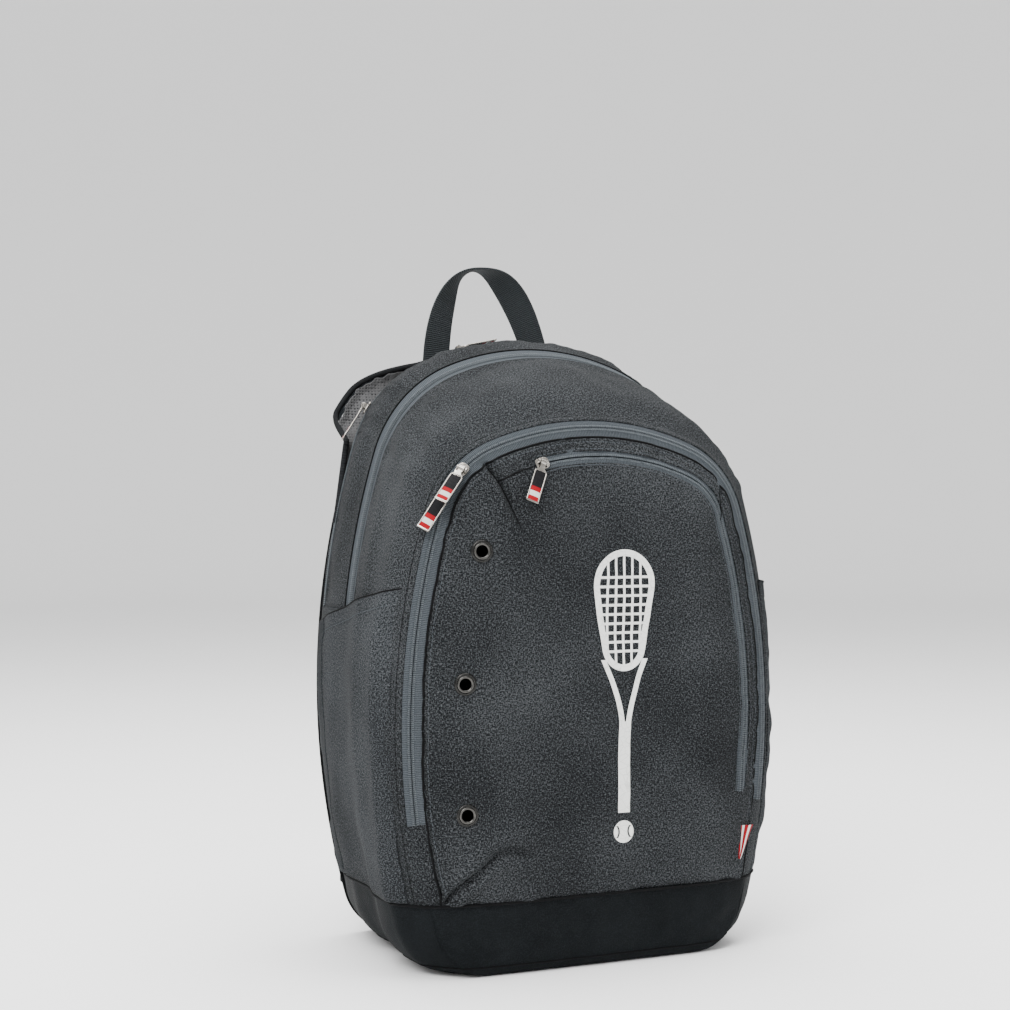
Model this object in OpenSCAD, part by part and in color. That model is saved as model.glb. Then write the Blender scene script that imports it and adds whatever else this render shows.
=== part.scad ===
// Racket backpack: a zipped fabric day pack with a rear racket compartment, a main
// compartment, a front compartment whose panel folds down, and a pocket on that panel.
// X runs to the bag's right, -Y is its front, Z is up. Origin: middle of the base it stands on.

/* [Body] */
// Widest point of the bag, side to side
bag_width = 346; // [338:1:354]
// Height of the crown, without the haul loop
bag_height = 482; // [476:1:488]
// Thickness of the padded body cloth
wall = 2.4; // [2:0.1:2.8]
// Height of the coated base, up to its piped seam
base_height = 55; // [50:1:60]
// How far the front panel domes out between its edges
dome_depth = 17; // [14:0.5:18]
// Depth that the side walls sink behind the slip pockets
pocket_depth = 10; // [9:0.5:11]
// How far a slip pocket's mouth stands open
pocket_gape = 3; // [2:0.5:4]

/* [Zips] */
// Width of one zip tape, from coil to seam
tape_width = 8; // [7:0.5:9]
// Clear gap down the middle of each zip, for the slider's post
coil_gap = 1.6; // [1.4:0.1:1.8]
// Height where the front panel's zip ends, just over the fold
fold_height = 112; // [108:1:113]
// Lowest point of the main and racket compartments' zips
side_zip_end = 268; // [262:1:276]

/* [Pulls] */
// Length of a zip pull from its pin to its tip
pull_length = 34; // [28:1:36]
// Width of a zip pull
pull_width = 11; // [9:0.5:12]
// Radius of the pin that a pull swings on
pin_r = 0.8; // [0.7:0.05:0.9]

/* [Eyelets] */
// Radius of the clear hole through each vent eyelet
eyelet_bore = 4; // [3:0.25:4.5]
// Radius of an eyelet's front flange
eyelet_flange = 7.5; // [7:0.25:9]

/* [Carrying] */
// Height of the top of the haul loop
loop_top = 546; // [530:1:556]
// Width of the haul loop's webbing
loop_webbing = 24; // [20:1:26]
// Width of a shoulder strap's pad
strap_width = 62; // [54:1:66]
// Thickness of a shoulder strap's pad
strap_thickness = 11; // [9:0.5:13]

/* [Hidden] */

$fn = 48;

// Angles at which an outline's arcs meet, measured from straight up at the crown
crown_end = 22;
shoulder_end = 73;
side_end = 106;
foot_end = 180;
foot_r = 45;

// Depths of the bag's ribs, front to back, with half width, height and shoulder radius
width_scale = bag_width / 346;
rise = bag_height - 482;
rib_width = [[-90, 151], [-82, 160], [-64, 173], [-36, 173], [2, 166], [34, 167], [66, 162], [92, 154]];
rib_height = [[-90, 407], [-82, 416], [-64, 436], [-36, 453], [2, 468], [34, 482], [66, 476], [92, 462]];
rib_shoulder = [[-90, 72], [-82, 82], [-64, 98], [-36, 110], [2, 108], [34, 104], [66, 98], [92, 95]];

front_y = -90;
corner_y = -82;
main_zip_y = 2;
racket_zip_y = 66;
back_y = 92;

charcoal = "#3d444b";
slate = "#4c5860";
coated = "#2f383e";
webbing = "#333c43";
metal = "#b9b7b2";
mesh_grey = "#6d7073";
print_white = "#d9dbd6";
flag_red = "#a3222f";

// ---- outlines ----------------------------------------------------------------------------

function clamp(v, lo, hi) = max(lo, min(hi, v));

function smooth(v) = let (t = clamp(v, 0, 1)) t * t * (3 - 2 * t);

function span(a, b, n) = [for (i = [0:n]) a + (b - a) * i / n];

// A rib as [height, crown radius, shoulder radius, side radius, foot radius]: the crown and side
// radii are the two that give the wanted half width and height
function make_rib(w, h, rs) =
    let (a = sin(crown_end), b = 1 - sin(shoulder_end),
         c = cos(crown_end) - 1, d = cos(side_end) - cos(shoulder_end),
         e = w - rs * (sin(shoulder_end) - sin(crown_end)),
         f = -h - rs * (cos(shoulder_end) - cos(crown_end)) + foot_r * (1 + cos(side_end)),
         det = a * d - b * c)
    [h, (e * d - b * f) / det, rs, (a * f - e * c) / det, foot_r];

function rib(y, inset = 0) =
    let (r = make_rib(lookup(y, rib_width) * width_scale, lookup(y, rib_height) + rise,
                      lookup(y, rib_shoulder)))
    [for (v = r) v - inset];

function rib_x(r, angle) =
    let (t = abs(angle))
    sign(angle) * (r[1] * sin(min(t, crown_end))
    + r[2] * (sin(clamp(t, crown_end, shoulder_end)) - sin(crown_end))
    + r[3] * (sin(clamp(t, shoulder_end, side_end)) - sin(shoulder_end))
    + r[4] * (sin(clamp(t, side_end, foot_end)) - sin(side_end)));

function rib_z(r, angle) =
    let (t = abs(angle))
    r[0] + r[1] * (cos(min(t, crown_end)) - 1)
    + r[2] * (cos(clamp(t, crown_end, shoulder_end)) - cos(crown_end))
    + r[3] * (cos(clamp(t, shoulder_end, side_end)) - cos(shoulder_end))
    + r[4] * (cos(clamp(t, side_end, foot_end)) - cos(side_end));

// Angle at which a rib's side arc passes a height
function side_angle(r, z) =
    acos(clamp((z - rib_z(r, shoulder_end)) / r[3] + cos(shoulder_end), -1, 1));

// A point on the bag at depth y and outline angle, sunk inwards by inset
function skin(y, angle, inset = 0) =
    let (r = rib(y, inset)) [rib_x(r, angle), y, rib_z(r, angle)];

function arc_row(y, from, to, steps, inset = 0) = [for (a = span(from, to, steps)) skin(y, a, inset)];

// A closed outline across the bag, for flat panels
module panel_outline(y, inset) {
    r = rib(y, inset);
    polygon([for (a = concat(span(-foot_end, -crown_end, 24), span(-crown_end + 5, crown_end - 5, 6),
                             span(crown_end, foot_end, 24))) [rib_x(r, a), rib_z(r, a)]]);
}

module flat_panel(y0, y1, inset, rib_y) {
    translate([0, y1, 0]) rotate([90, 0, 0]) linear_extrude(y1 - y0) panel_outline(rib_y, inset);
}

// ---- sheets ------------------------------------------------------------------------------

// A closed sheet between two equal grids of points; outer faces away from the bag
module sheet(outer, inner) {
    rows = len(outer);
    cols = len(outer[0]);
    size = rows * cols;
    function at(side, i, j) = side * size + i * cols + j;
    function quad(a, b, c, d) = [[a, b, c], [a, c, d]];
    points = concat([for (r = outer) each r], [for (r = inner) each r]);
    faces = concat(
        [for (i = [0:rows - 2], j = [0:cols - 2])
            each quad(at(0, i, j), at(0, i, j + 1), at(0, i + 1, j + 1), at(0, i + 1, j))],
        [for (i = [0:rows - 2], j = [0:cols - 2])
            each quad(at(1, i, j), at(1, i + 1, j), at(1, i + 1, j + 1), at(1, i, j + 1))],
        [for (j = [0:cols - 2]) each quad(at(0, 0, j), at(1, 0, j), at(1, 0, j + 1), at(0, 0, j + 1))],
        [for (j = [0:cols - 2]) each quad(at(0, rows - 1, j + 1), at(1, rows - 1, j + 1),
                                          at(1, rows - 1, j), at(0, rows - 1, j))],
        [for (i = [0:rows - 2]) each quad(at(0, i + 1, 0), at(1, i + 1, 0), at(1, i, 0), at(0, i, 0))],
        [for (i = [0:rows - 2]) each quad(at(0, i, cols - 1), at(1, i, cols - 1),
                                          at(1, i + 1, cols - 1), at(0, i + 1, cols - 1))]);
    polyhedron(points, faces);
}

// A bar swept through rings of points, closed at both ends
module sweep(rings) {
    n = len(rings[0]);
    last = len(rings) - 1;
    faces = concat(
        [for (i = [0:last - 1], j = [0:n - 1])
            let (k = (j + 1) % n)
            each [[i * n + j, (i + 1) * n + j, (i + 1) * n + k], [i * n + j, (i + 1) * n + k, i * n + k]]],
        [[for (j = [0:n - 1]) j]],
        [[for (j = [n - 1:-1:0]) last * n + j]]);
    polyhedron([for (r = rings) each r], faces);
}

function unit(v) = v / norm(v);

// A point on a cubic curve with four control points
function bezier(p, t) = pow(1 - t, 3) * p[0] + 3 * pow(1 - t, 2) * t * p[1]
    + 3 * (1 - t) * t * t * p[2] + t * t * t * p[3];

function bezier_way(p, t) = unit(bezier(p, t + 0.01) - bezier(p, t - 0.01));

// ---- side walls and slip pockets ----------------------------------------------------------

pocket_front = -76;
pocket_back = 88;
pocket_top_front = 287;
pocket_top_back = 251;

function pocket_edge(y) = pocket_top_front
    + (y - pocket_front) / (pocket_back - pocket_front) * (pocket_top_back - pocket_top_front);

// How far the wall sinks behind a slip pocket
function recess(y, z) =
    let (mid = (pocket_front + pocket_back) / 2, u = (y - mid) / (pocket_back - mid),
         edge = pocket_edge(y))
    abs(u) >= 1 ? 0 : pocket_depth * (1 - pow(u, 4)) * smooth((edge + 16 - z) / 24)
        * smooth((z - 70) / 45);

// How far a slip pocket's cloth stands out near its mouth
function gape(y, z) =
    let (mid = (pocket_front + pocket_back) / 2, u = (y - mid) / (pocket_back - mid))
    pocket_gape * (1 - pow(u, 4)) * smooth((z - pocket_edge(y) + 100) / 100);

function wall_point(y, angle, inset) =
    let (p = skin(y, angle)) skin(y, angle, inset + recess(y, p[2]));

// Lower side wall behind the zips' ends
module side_wall() {
    ys = [back_y, 80, 66, 50, 34, 18, main_zip_y, -6];
    function rows(inset) = [for (y = ys) let (r = rib(y))
        [for (a = span(side_angle(r, side_zip_end), side_angle(r, base_height), 16))
            wall_point(y, a, inset)]];
    sheet(rows(0), rows(wall));
}

module main_shell() {
    ys = [main_zip_y - tape_width, -20, -36, -50, -64, -74, corner_y];
    turns = concat(span(-1, -0.72, 16), span(-0.7, 0.7, 30), span(0.72, 1, 16));
    function rows(inset) = [for (y = ys) let (foot = side_angle(rib(y), base_height))
        [for (t = turns) wall_point(y, t * foot, inset)]];
    color(charcoal) union() {
        sheet(rows(0), rows(wall));
        side_wall();
        mirror([1, 0, 0]) side_wall();
    }
}

module side_pocket(side) {
    ys = [pocket_back, 76, 60, 40, 20, main_zip_y, -18, -36, -50, -64, pocket_front];
    function rows(lift) = [for (y = ys) let (r = rib(y))
        [for (a = span(side_angle(r, pocket_edge(y)), side_angle(r, base_height + 2.2), 10))
            skin(y, a, -lift - gape(y, rib_z(r, a)))]];
    mirror([side > 0 ? 0 : 1, 0, 0]) sheet(rows(2.1), rows(0.5));
}
module side_pocket_left() { color(charcoal) side_pocket(-1); }
module side_pocket_right() { color(charcoal) side_pocket(1); }

// ---- zips over the crown -------------------------------------------------------------------

function top_end(y) = side_angle(rib(y), side_zip_end);

// A strip of cloth or tape over the crown from y0 back to y1
module crown_strip(y0, y1, steps_y, depth, thick, steps = 44) {
    ys = span(y1, y0, steps_y);
    sheet([for (y = ys) arc_row(y, -top_end(y), top_end(y), steps, depth)],
          [for (y = ys) arc_row(y, -top_end(y), top_end(y), steps, depth + thick)]);
}

tape_depth = 0.5;
tape_thick = 1.2;

module rear_gusset() {
    color(charcoal) crown_strip(main_zip_y + tape_width, racket_zip_y - tape_width, 4, 0, wall);
}

module main_zip() {
    color(slate) {
        crown_strip(main_zip_y - tape_width, main_zip_y - coil_gap / 2, 1, tape_depth, tape_thick);
        crown_strip(main_zip_y + coil_gap / 2, main_zip_y + tape_width, 1, tape_depth, tape_thick);
    }
}

// The racket compartment's mouth stands open on the left shoulder: flare is 0 where the zip is
// shut and 1 where its rear lip leans fully back
mouth_low = -53;
mouth_high = -14;

function flare(angle) = smooth((angle - mouth_low) / 9) * smooth((mouth_high - angle) / 9);

lip_y = racket_zip_y + tape_width;
sleeve_end = top_end(back_y) - 0.15;
lip_lean = 30;
lip_rise = 17;

// v runs from 0 at the back panel, through 1 at the lip's seam, to 2 at the zip's coil
function sleeve_point(v, angle, inset) =
    let (f = flare(angle),
         shut = v <= 1 ? back_y + (lip_y - back_y) * v
                       : lip_y - (v - 1) * (tape_width - coil_gap / 2),
         open_y = back_y + lip_lean / 2 * v - (v > 1 ? (v - 1) * 12 : 0),
         y = shut + (open_y - shut) * f,
         out = f * lip_rise * (v > 1 ? 1 + (v - 1) * 0.42 : v),
         shape_y = min(shut, back_y),
         p = skin(shape_y, angle, inset - out))
    [p[0], y, p[2]];

function sleeve_rows(vs, inset, lean_back) = [for (v = vs)
    [for (a = span(-sleeve_end, sleeve_end, 56))
        sleeve_point(v, a, inset) + [0, lean_back * flare(a), 0]]];

module racket_sleeve() {
    color(charcoal) sheet(sleeve_rows([0, 0.35, 0.7, 1], 0, 0), sleeve_rows([0, 0.35, 0.7, 1], wall, -1));
}

module racket_zip() {
    color(slate) {
        crown_strip(racket_zip_y - tape_width, racket_zip_y - coil_gap / 2, 1, tape_depth, tape_thick, 56);
        sheet(sleeve_rows([1, 2], tape_depth, 0), sleeve_rows([1, 2], tape_depth + tape_thick, -1));
    }
}

// ---- base ------------------------------------------------------------------------------------

module base_tray() {
    ys = [back_y, 66, 34, main_zip_y, -36, -64, corner_y, front_y];
    function tub(inset) = [for (y = ys) let (seam = side_angle(rib(y), base_height))
        [for (a = concat(span(seam, foot_end, 10), span(-foot_end, -seam, 10))) skin(y, a, inset)]];
    color(coated) union() {
        sheet(tub(0), tub(wall));
        front_sheet(base_levels, 0, wall);
    }
}

module base_piping() {
    ys = [back_y, 66, 34, main_zip_y, -36, -64, corner_y];
    function seam(y, side) = skin(y, side * side_angle(rib(y), base_height), -standoff);
    standoff = 2.8;
    front = [for (x = span(-0.97, 0.97, 24))
        let (w = rib_x(rib(front_y), side_angle(rib(front_y), base_height)))
        [x * w, panel_y(x * w, base_height) - standoff, base_height]];
    route = concat([for (y = ys) seam(y, -1)], front, [for (i = [len(ys) - 1:-1:0]) seam(ys[i], 1)]);
    r = 1.5;
    color(coated) sweep([for (i = [0:len(route) - 1])
        let (a = route[max(i - 1, 0)], b = route[min(i + 1, len(route) - 1)],
             way = unit(b - a), out = unit(cross(way, [0, 0, 1])))
        [for (k = [0:7]) route[i] + r * (cos(k * 45) * out + sin(k * 45) * [0, 0, 1])]]);
}

module base_board() {
    color("#22262a") translate([0, 3, wall + 0.6]) linear_extrude(2)
        hull() for (x = [-82, 82], y = [-72, 72]) translate([x, y]) circle(r = 12);
}

// ---- front panel ------------------------------------------------------------------------------

// Distance of a front point inside the front zip's line
function edge_distance(x, z) =
    let (r = rib(front_y), ax = abs(x),
         ct = [0, r[0] - r[1]],
         cs = ct + (r[1] - r[2]) * [sin(crown_end), cos(crown_end)],
         cd = cs + (r[2] - r[3]) * [sin(shoulder_end), cos(shoulder_end)],
         turn = atan2(ax - cs[0], z - cs[1]))
    turn > crown_end && turn < shoulder_end && z > cs[1]
        ? r[2] - norm([ax, z] - cs)
        : min(r[1] - norm([ax, z] - ct), r[3] - norm([ax, z] - cd));

dome_reach = 70;

function dome(distance) = dome_depth * (1 - pow(1 - clamp(distance / dome_reach, 0, 1), 2.4));

// Height over which the front rounds under into the base
toe_r = 20;

// Depth of the front's outer surface at a point
function panel_y(x, z) = front_y - dome(edge_distance(x, z))
    * (1 - 0.45 * smooth((fold_height - z) / fold_height)) * sqrt(1 - pow(1 - clamp(z / toe_r, 0, 1), 2));

// A domed sheet across the front between two levels of the outline
module front_sheet(levels, inset, thick) {
    r = rib(front_y, inset);
    us = concat(span(-1, -0.7, 5), span(-0.5, 0.5, 5), span(0.7, 1, 5));
    function rows(push, shrink) = [for (a = levels) [for (u = us)
        let (x = u * (rib_x(r, a) - shrink), z = rib_z(r, a)) [x, panel_y(x, z) + push, z]]];
    sheet(rows(0, 0), rows(thick, 0.2));
}

front_rib = rib(front_y);
base_levels = span(side_angle(front_rib, base_height), foot_end, 8);
lower_levels = span(side_angle(front_rib, fold_height - 0.5), side_angle(front_rib, base_height), 6);

module front_panel_lower() {
    function corner(inset) = [for (y = [corner_y, (corner_y + front_y) / 2, front_y])
        [for (z = span(fold_height + 1, base_height, 6)) wall_point(y, side_angle(rib(y), z), inset)]];
    color(charcoal) union() {
        front_sheet(lower_levels, 0, wall);
        for (side = [0, 1]) mirror([side, 0, 0]) sheet(corner(0), corner(wall));
    }
}

flap_inset = 8;
flap_rib = rib(front_y, flap_inset);
pocket_zip_inset = 22;
pocket_zip_start = -16;
pocket_rib = rib(front_y, pocket_zip_inset);
pocket_zip_last = side_angle(pocket_rib, fold_height + 14);

function track_point(r, a) = [rib_x(r, a), rib_z(r, a)];

// Flat band along the pocket zip, between two distances either side of its coil
module pocket_band(inner_w, outer_w, from, to) {
    polygon(concat([for (a = span(from, to, 44)) track_point(rib(front_y, pocket_zip_inset - outer_w), a)],
                   [for (a = span(to, from, 44)) track_point(rib(front_y, pocket_zip_inset + inner_w), a)]));
}

// Vent eyelets down the left of the front panel, as [x, z]
eyelets = [[-100, 315], [-113.5, 218], [-111.5, 122]];

module at_panel(x, z) {
    step = 2;
    slope = (panel_y(x + step, z) - panel_y(x - step, z)) / (2 * step);
    translate([x, panel_y(x, z), z]) rotate([0, 0, atan(slope)]) rotate([90, 0, 0]) children();
}

module front_panel() {
    color(charcoal) difference() {
        front_sheet(concat([3, 6, 10], span(14, side_angle(flap_rib, fold_height + 0.5), 22)), flap_inset, wall);
        translate([0, -60, 0]) rotate([90, 0, 0]) linear_extrude(60)
            pocket_band(tape_width, tape_width, pocket_zip_start, pocket_zip_last);
        for (e = eyelets) at_panel(e[0], e[1]) translate([0, 0, -8]) cylinder(r = eyelet_bore + 1.4, h = 16);
    }
}

module pocket_tape(near, far) {
    function rows(push) = [for (d = [near, far]) [for (a = span(pocket_zip_start, pocket_zip_last, 40))
        let (r = rib(front_y, pocket_zip_inset + d), x = rib_x(r, a), z = rib_z(r, a))
        [x, panel_y(x, z) + push, z]]];
    sheet(rows(tape_depth), rows(tape_depth + tape_thick));
}

module pocket_zip() {
    color(slate) {
        pocket_tape(-tape_width + 0.2, -coil_gap / 2);
        pocket_tape(coil_gap / 2, tape_width - 0.2);
    }
}

module pocket_lining() {
    half = 78;
    lining_y = front_y - 10.3;
    color("#25292d") translate([0, lining_y, 0]) rotate([90, 0, 0]) linear_extrude(1.2)
        hull() for (side = [-1, 1]) {
            translate([side * half, fold_height + 22]) circle(r = 10);
            translate([side * (half - 28), 326]) circle(r = 32);
        }
}

// Zip round the front panel: one tape on the body, one on the panel
front_zip_end = side_angle(front_rib, fold_height + 3);

// From the seam at its outer or inner edge to the coil, with its thickness along Y alone at the
// seam of the panel's tape and across the outline alone at the seam of the body's
module front_tape(ends) {
    function rows(t) = [for (e = ends) [for (a = span(-front_zip_end, front_zip_end, 48))
        let (r = rib(front_y, e[1] + t * e[3])) [rib_x(r, a), e[0] + t * e[2], rib_z(r, a)]]];
    sheet(rows(0), rows(tape_thick));
}

coil_lift = coil_gap / 4;

module front_zip_body() {
    color(slate) front_tape([[corner_y - 0.4, -8.5, 0, 1],
                             [front_y + coil_lift + 0.3, 0.1 - coil_gap / 2, 0.7, 0.7]]);
}

module front_zip_flap() {
    color(slate) front_tape([[front_y - coil_lift + 0.5, 0.1 + coil_gap / 2, 0.7, 0.7],
                             [panel_y(0, flap_rib[0]) + 0.5, flap_inset - 0.3, 1, 0]]);
}

// ---- inner walls ----------------------------------------------------------------------------

module sleeve_divider() {
    color("#2c3136") flat_panel(40, 44, pocket_depth + wall + 1, 42);
}

module main_front_wall() {
    color("#2c3136") flat_panel(-72, -69, wall + 5, -74);
}

module laptop_sleeve() {
    color("#3a4046") translate([0, 33, 0]) rotate([90, 0, 0]) linear_extrude(5)
        hull() for (x = [-112, 112], z = [42, 300]) translate([x, z]) circle(r = 12);
}

// ---- back -------------------------------------------------------------------------------------

back_face = back_y + 3;
pad_thick = 12;
pad_y = back_face + 0.3;

module back_panel() {
    color("#2a2f34") flat_panel(back_y, back_face, 0, back_y);
}

module back_pad(side) {
    translate([0, pad_y + pad_thick, 0]) rotate([90, 0, 0]) linear_extrude(pad_thick)
        hull() for (x = [38, 96], z = [138, 372]) translate([side * x, z]) circle(r = 20);
}
module back_pad_left() { color(mesh_grey) back_pad(-1); }
module back_pad_right() { color(mesh_grey) back_pad(1); }

module lumbar_pad() {
    color(mesh_grey) translate([0, pad_y + pad_thick, 0]) rotate([90, 0, 0]) linear_extrude(pad_thick)
        hull() for (x = [-84, 84], z = [62, 92]) translate([x, z]) circle(r = 16);
}

// ---- haul loop --------------------------------------------------------------------------------

loop_foot_z = 450;
loop_y = 97;
loop_left = -49;
loop_right = 49;
loop_thick = 2.2;

module haul_handle() {
    steps = 22;
    path = [[loop_left, loop_y, loop_foot_z], [loop_left - 2, loop_y, loop_top + 28],
            [loop_right - 26, loop_y, loop_top + 34], [loop_right, loop_y, loop_foot_z]];
    color(webbing) sweep([for (i = [0:steps])
        let (t = i / steps, p = bezier(path, t), way = bezier_way(path, clamp(t, 0.01, 0.99)),
             twist = 180 * smooth(t),
             flat = [cos(twist), sin(twist), 0],
             across = unit(flat - (flat * way) * way),
             out = cross(way, across))
        [for (k = [[-1, -1], [-1, 1], [1, 1], [1, -1]])
            p + k[0] * loop_webbing / 2 * across + k[1] * loop_thick / 2 * out]]);
}

// ---- shoulder straps ----------------------------------------------------------------------------

strap_top = [44, 102, 424];
strap_low = [92, 122, 205];
strap_foot = [118, 100.3, 66];
lock_at = strap_low + [2, -1, -17];

// A flat bar along a curve, its corners cut and its ends narrowed to a part of its width
module strap_bar(path, steps, half_w, half_t, side, neck) {
    rings = [for (i = [0:steps])
        let (t = i / steps, p = bezier(path, t), way = bezier_way(path, clamp(t, 0.01, 0.99)),
             across = unit([1, 0, 0] - ([1, 0, 0] * way) * way), out = cross(way, across),
             soft = smooth(t * 7) * smooth((1 - t) * 7), w = half_w * (neck + (1 - neck) * soft),
             h = half_t * (0.45 + 0.55 * soft))
        [for (k = [[-1, -0.4], [-1, 0.4], [-0.86, 1], [0.86, 1], [1, 0.4], [1, -0.4], [0.86, -1], [-0.86, -1]])
            p + k[0] * w * across + k[1] * h * out]];
    if (side > 0) sweep(rings);
    else mirror([1, 0, 0]) sweep(rings);
}

module shoulder_strap(side) {
    strap_bar([strap_top, strap_top + [0, 52, 18], strap_low + [-14, 26, 110], strap_low], 18,
              strap_width / 2, strap_thickness / 2, side, 0.36);
}
module shoulder_strap_left() { color(charcoal) shoulder_strap(-1); }
module shoulder_strap_right() { color(charcoal) shoulder_strap(1); }

module strap_web(side) {
    half = 12.5;
    low_start = lock_at + [0.6, -1.5, -15];
    strap_bar([low_start, low_start + [8, -2, -30], strap_foot + [-6, 3, 40], strap_foot + [0, 0.4, 3]],
              12, half, 0.9, side, 0.72);
    strap_bar([strap_low + [0, 0, -0.6], strap_low + [0.4, 0, -3], strap_low + [0.6, 0, -5],
               strap_low + [1, -0.4, -8]], 4, half, 0.9, side, 0.8);
}
module strap_webbing_left() { color(webbing) strap_web(-1); }
module strap_webbing_right() { color(webbing) strap_web(1); }

module ladder_lock(side) {
    bar = 2.2;
    mirror([side > 0 ? 0 : 1, 0, 0]) translate(lock_at + [0, 0, 1]) rotate([90, 0, 0])
        linear_extrude(5, center = true) difference() {
            square([32, 28], center = true);
            for (z = [-8.4, 0, 8.4]) translate([0, z]) square([27, 8.4 - bar], center = true);
        }
}
module ladder_lock_left() { color("#1d2124") ladder_lock(-1); }
module ladder_lock_right() { color("#1d2124") ladder_lock(1); }

module strap_anchor(side) {
    mirror([side > 0 ? 0 : 1, 0, 0]) translate([strap_foot[0] - 16, pad_y, strap_foot[2] - 26])
        cube([32, 3.6, 24]);
}
module strap_anchor_left() { color(webbing) strap_anchor(-1); }
module strap_anchor_right() { color(webbing) strap_anchor(1); }

module strap_yoke() {
    color(charcoal) translate([0, back_face + 4.3, 0]) rotate([90, 0, 0]) linear_extrude(4)
        hull() for (x = [-76, 76], z = [408, 424]) translate([x, z]) circle(r = 8);
}

// ---- eyelets, print and flag ---------------------------------------------------------------------

eyelet_length = 6;

module vent_eyelets() {
    color(metal) for (e = eyelets) at_panel(e[0], e[1]) rotate_extrude() polygon([
        [eyelet_bore, 1.6 - eyelet_length], [eyelet_bore + 1, 1.6 - eyelet_length], [eyelet_bore + 1, 0.4],
        [eyelet_flange, 0.4], [eyelet_flange, 0.8], [eyelet_flange - 1, 1.3], [eyelet_bore + 1, 1.6],
        [eyelet_bore, 1.6]]);
}

module eyelet_washers() {
    color("#3b3d3f") for (e = eyelets) at_panel(e[0], e[1]) translate([0, 0, -wall - 1.5])
        difference() {
            cylinder(r = eyelet_flange - 0.6, h = 0.8);
            translate([0, 0, -1]) cylinder(r = eyelet_bore + 1, h = 3);
        }
}

print_x = 17;

module print_shape(x0, z0) {
    translate([0, front_y + 10, 0]) rotate([90, 0, 0]) linear_extrude(60) translate([x0, z0]) children();
}

// A film that lies on the domed front, between two depths in front of the cloth
module film(x0, x1, z0, z1) {
    function rows(lift) = [for (z = span(z1, z0, 16)) [for (x = span(x0, x1, 6)) [x, panel_y(x, z) - lift, z]]];
    sheet(rows(0.45), rows(0.05));
}

module racket_graphic() {
    half = 26;
    top = 315;
    foot = fold_height + 4;
    head = 92;
    rim = 5;
    string = 1.8;
    color(print_white) intersection() {
        film(print_x - half - 1, print_x + half + 1, foot - 1, top + 1);
        print_shape(print_x, 0) union() {
            difference() {
                racket_head(half, head, top);
                racket_head(half - rim, head - 2 * rim, top - rim);
            }
            intersection() {
                racket_head(half - 1, head - 2, top - 1);
                union() {
                    for (x = [-14, -7, 0, 7, 14]) translate([x - string / 2, top - head]) square([string, head]);
                    for (z = span(top - head + 15, top - 15, 7)) translate([-half, z - string / 2])
                        square([2 * half, string]);
                }
            }
            for (side = [-1, 1]) polygon([[side * 15, top - head + 9], [side * 9, top - head + 2],
                                          [0, foot + 70], [side * 5, foot + 66]]);
            translate([-5, foot]) square([10, 69]);
        }
    }
}

// A racket's head as a long round-ended loop that hangs down from its top
module racket_head(half, length, top) {
    hull() {
        translate([0, top - half]) circle(r = half);
        translate([0, top - length + 0.72 * half]) circle(r = 0.72 * half);
    }
}

module ball_graphic() {
    r = 8.5;
    z = fold_height - 10.5;
    color(print_white) intersection() {
        film(print_x - r - 1, print_x + r + 1, z - r - 1, z + r + 1);
        print_shape(print_x, z) difference() {
            circle(r = r);
            for (side = [-1, 1]) translate([side * 10.5, 0]) difference() {
                circle(r = 7.3);
                circle(r = 6);
            }
        }
    }
}

module side_flag() {
    z = 84;
    edge = side_angle(front_rib, z);
    color(flag_red) translate([rib_x(front_rib, edge) - 9, panel_y(rib_x(front_rib, edge) - 9, z) - 1.8, z])
        rotate([0, 16, -26]) cube([2, 4, 26], center = true);
}

// ---- zip sliders and pulls -------------------------------------------------------------------------

// Where each slider sits: outline, depth, angle along the zip, lean of the cloth towards the
// front, turn and lift of its pull, and whether its rear plate is cut clear of the body
front_lean = 54;
pocket_lean = 71;
racket_lean = -16;
racket_rib = rib(racket_zip_y);
main_rib = rib(main_zip_y);

racket_side = [racket_rib, racket_zip_y, -56, racket_lean, 180, 0, false];
racket_top = [racket_rib, racket_zip_y, -11.5, racket_lean, 0, 0, false];
main_upper = [main_rib, main_zip_y, 76, 0, 0, 14, false];
main_lower = [main_rib, main_zip_y, 78.2, 0, 0, 0, false];
front_upper = [front_rib, front_y, -46, front_lean, 180 + 12, 14, true];
front_lower = [front_rib, front_y, -61.5, front_lean, 180 - 6, 0, true];
pocket_slider = [pocket_rib, panel_y(0, pocket_rib[0]), -14, pocket_lean, 180 + 52, 0, false];

module on_zip(s) {
    translate([rib_x(s[0], s[2]), s[1], rib_z(s[0], s[2])]) rotate([0, s[2], 0]) rotate([s[3], 0, 0]) children();
}

plate_length = 11;
plate_width = 9;
plate_top = 1;
plate_thick = 1.6;
lug_y = 3.3;
pin_lift = 4.9;
eye_r = pin_r + 1.4;

module slider(s) {
    color(metal) on_zip(s) union() {
        translate([-plate_length / 2, -plate_width / 2, plate_top]) cube([plate_length, plate_width, plate_thick]);
        translate([-plate_length / 2, s[6] ? 0.3 - plate_width / 2 : -plate_width / 2, -4.4])
            cube([plate_length, s[6] ? plate_width / 2 : plate_width, 1.3]);
        translate([2.4, -0.3, -3.2]) cube([2.4, 0.6, plate_top + 3.4]);
        rotate([0, 0, s[4]]) {
            for (side = [-1, 1]) translate([-1.6, side * lug_y - 0.6, plate_top]) cube([3.2, 1.2, pin_lift + 0.7]);
            translate([0, 0, pin_lift]) rotate([90, 0, 0]) cylinder(r = pin_r, h = 2 * lug_y + 1, center = true);
        }
    }
}

module pull_place(s) {
    on_zip(s) rotate([0, 0, s[4]]) translate([0, 0, pin_lift]) rotate([0, -s[5], 0]) children();
}

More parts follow.
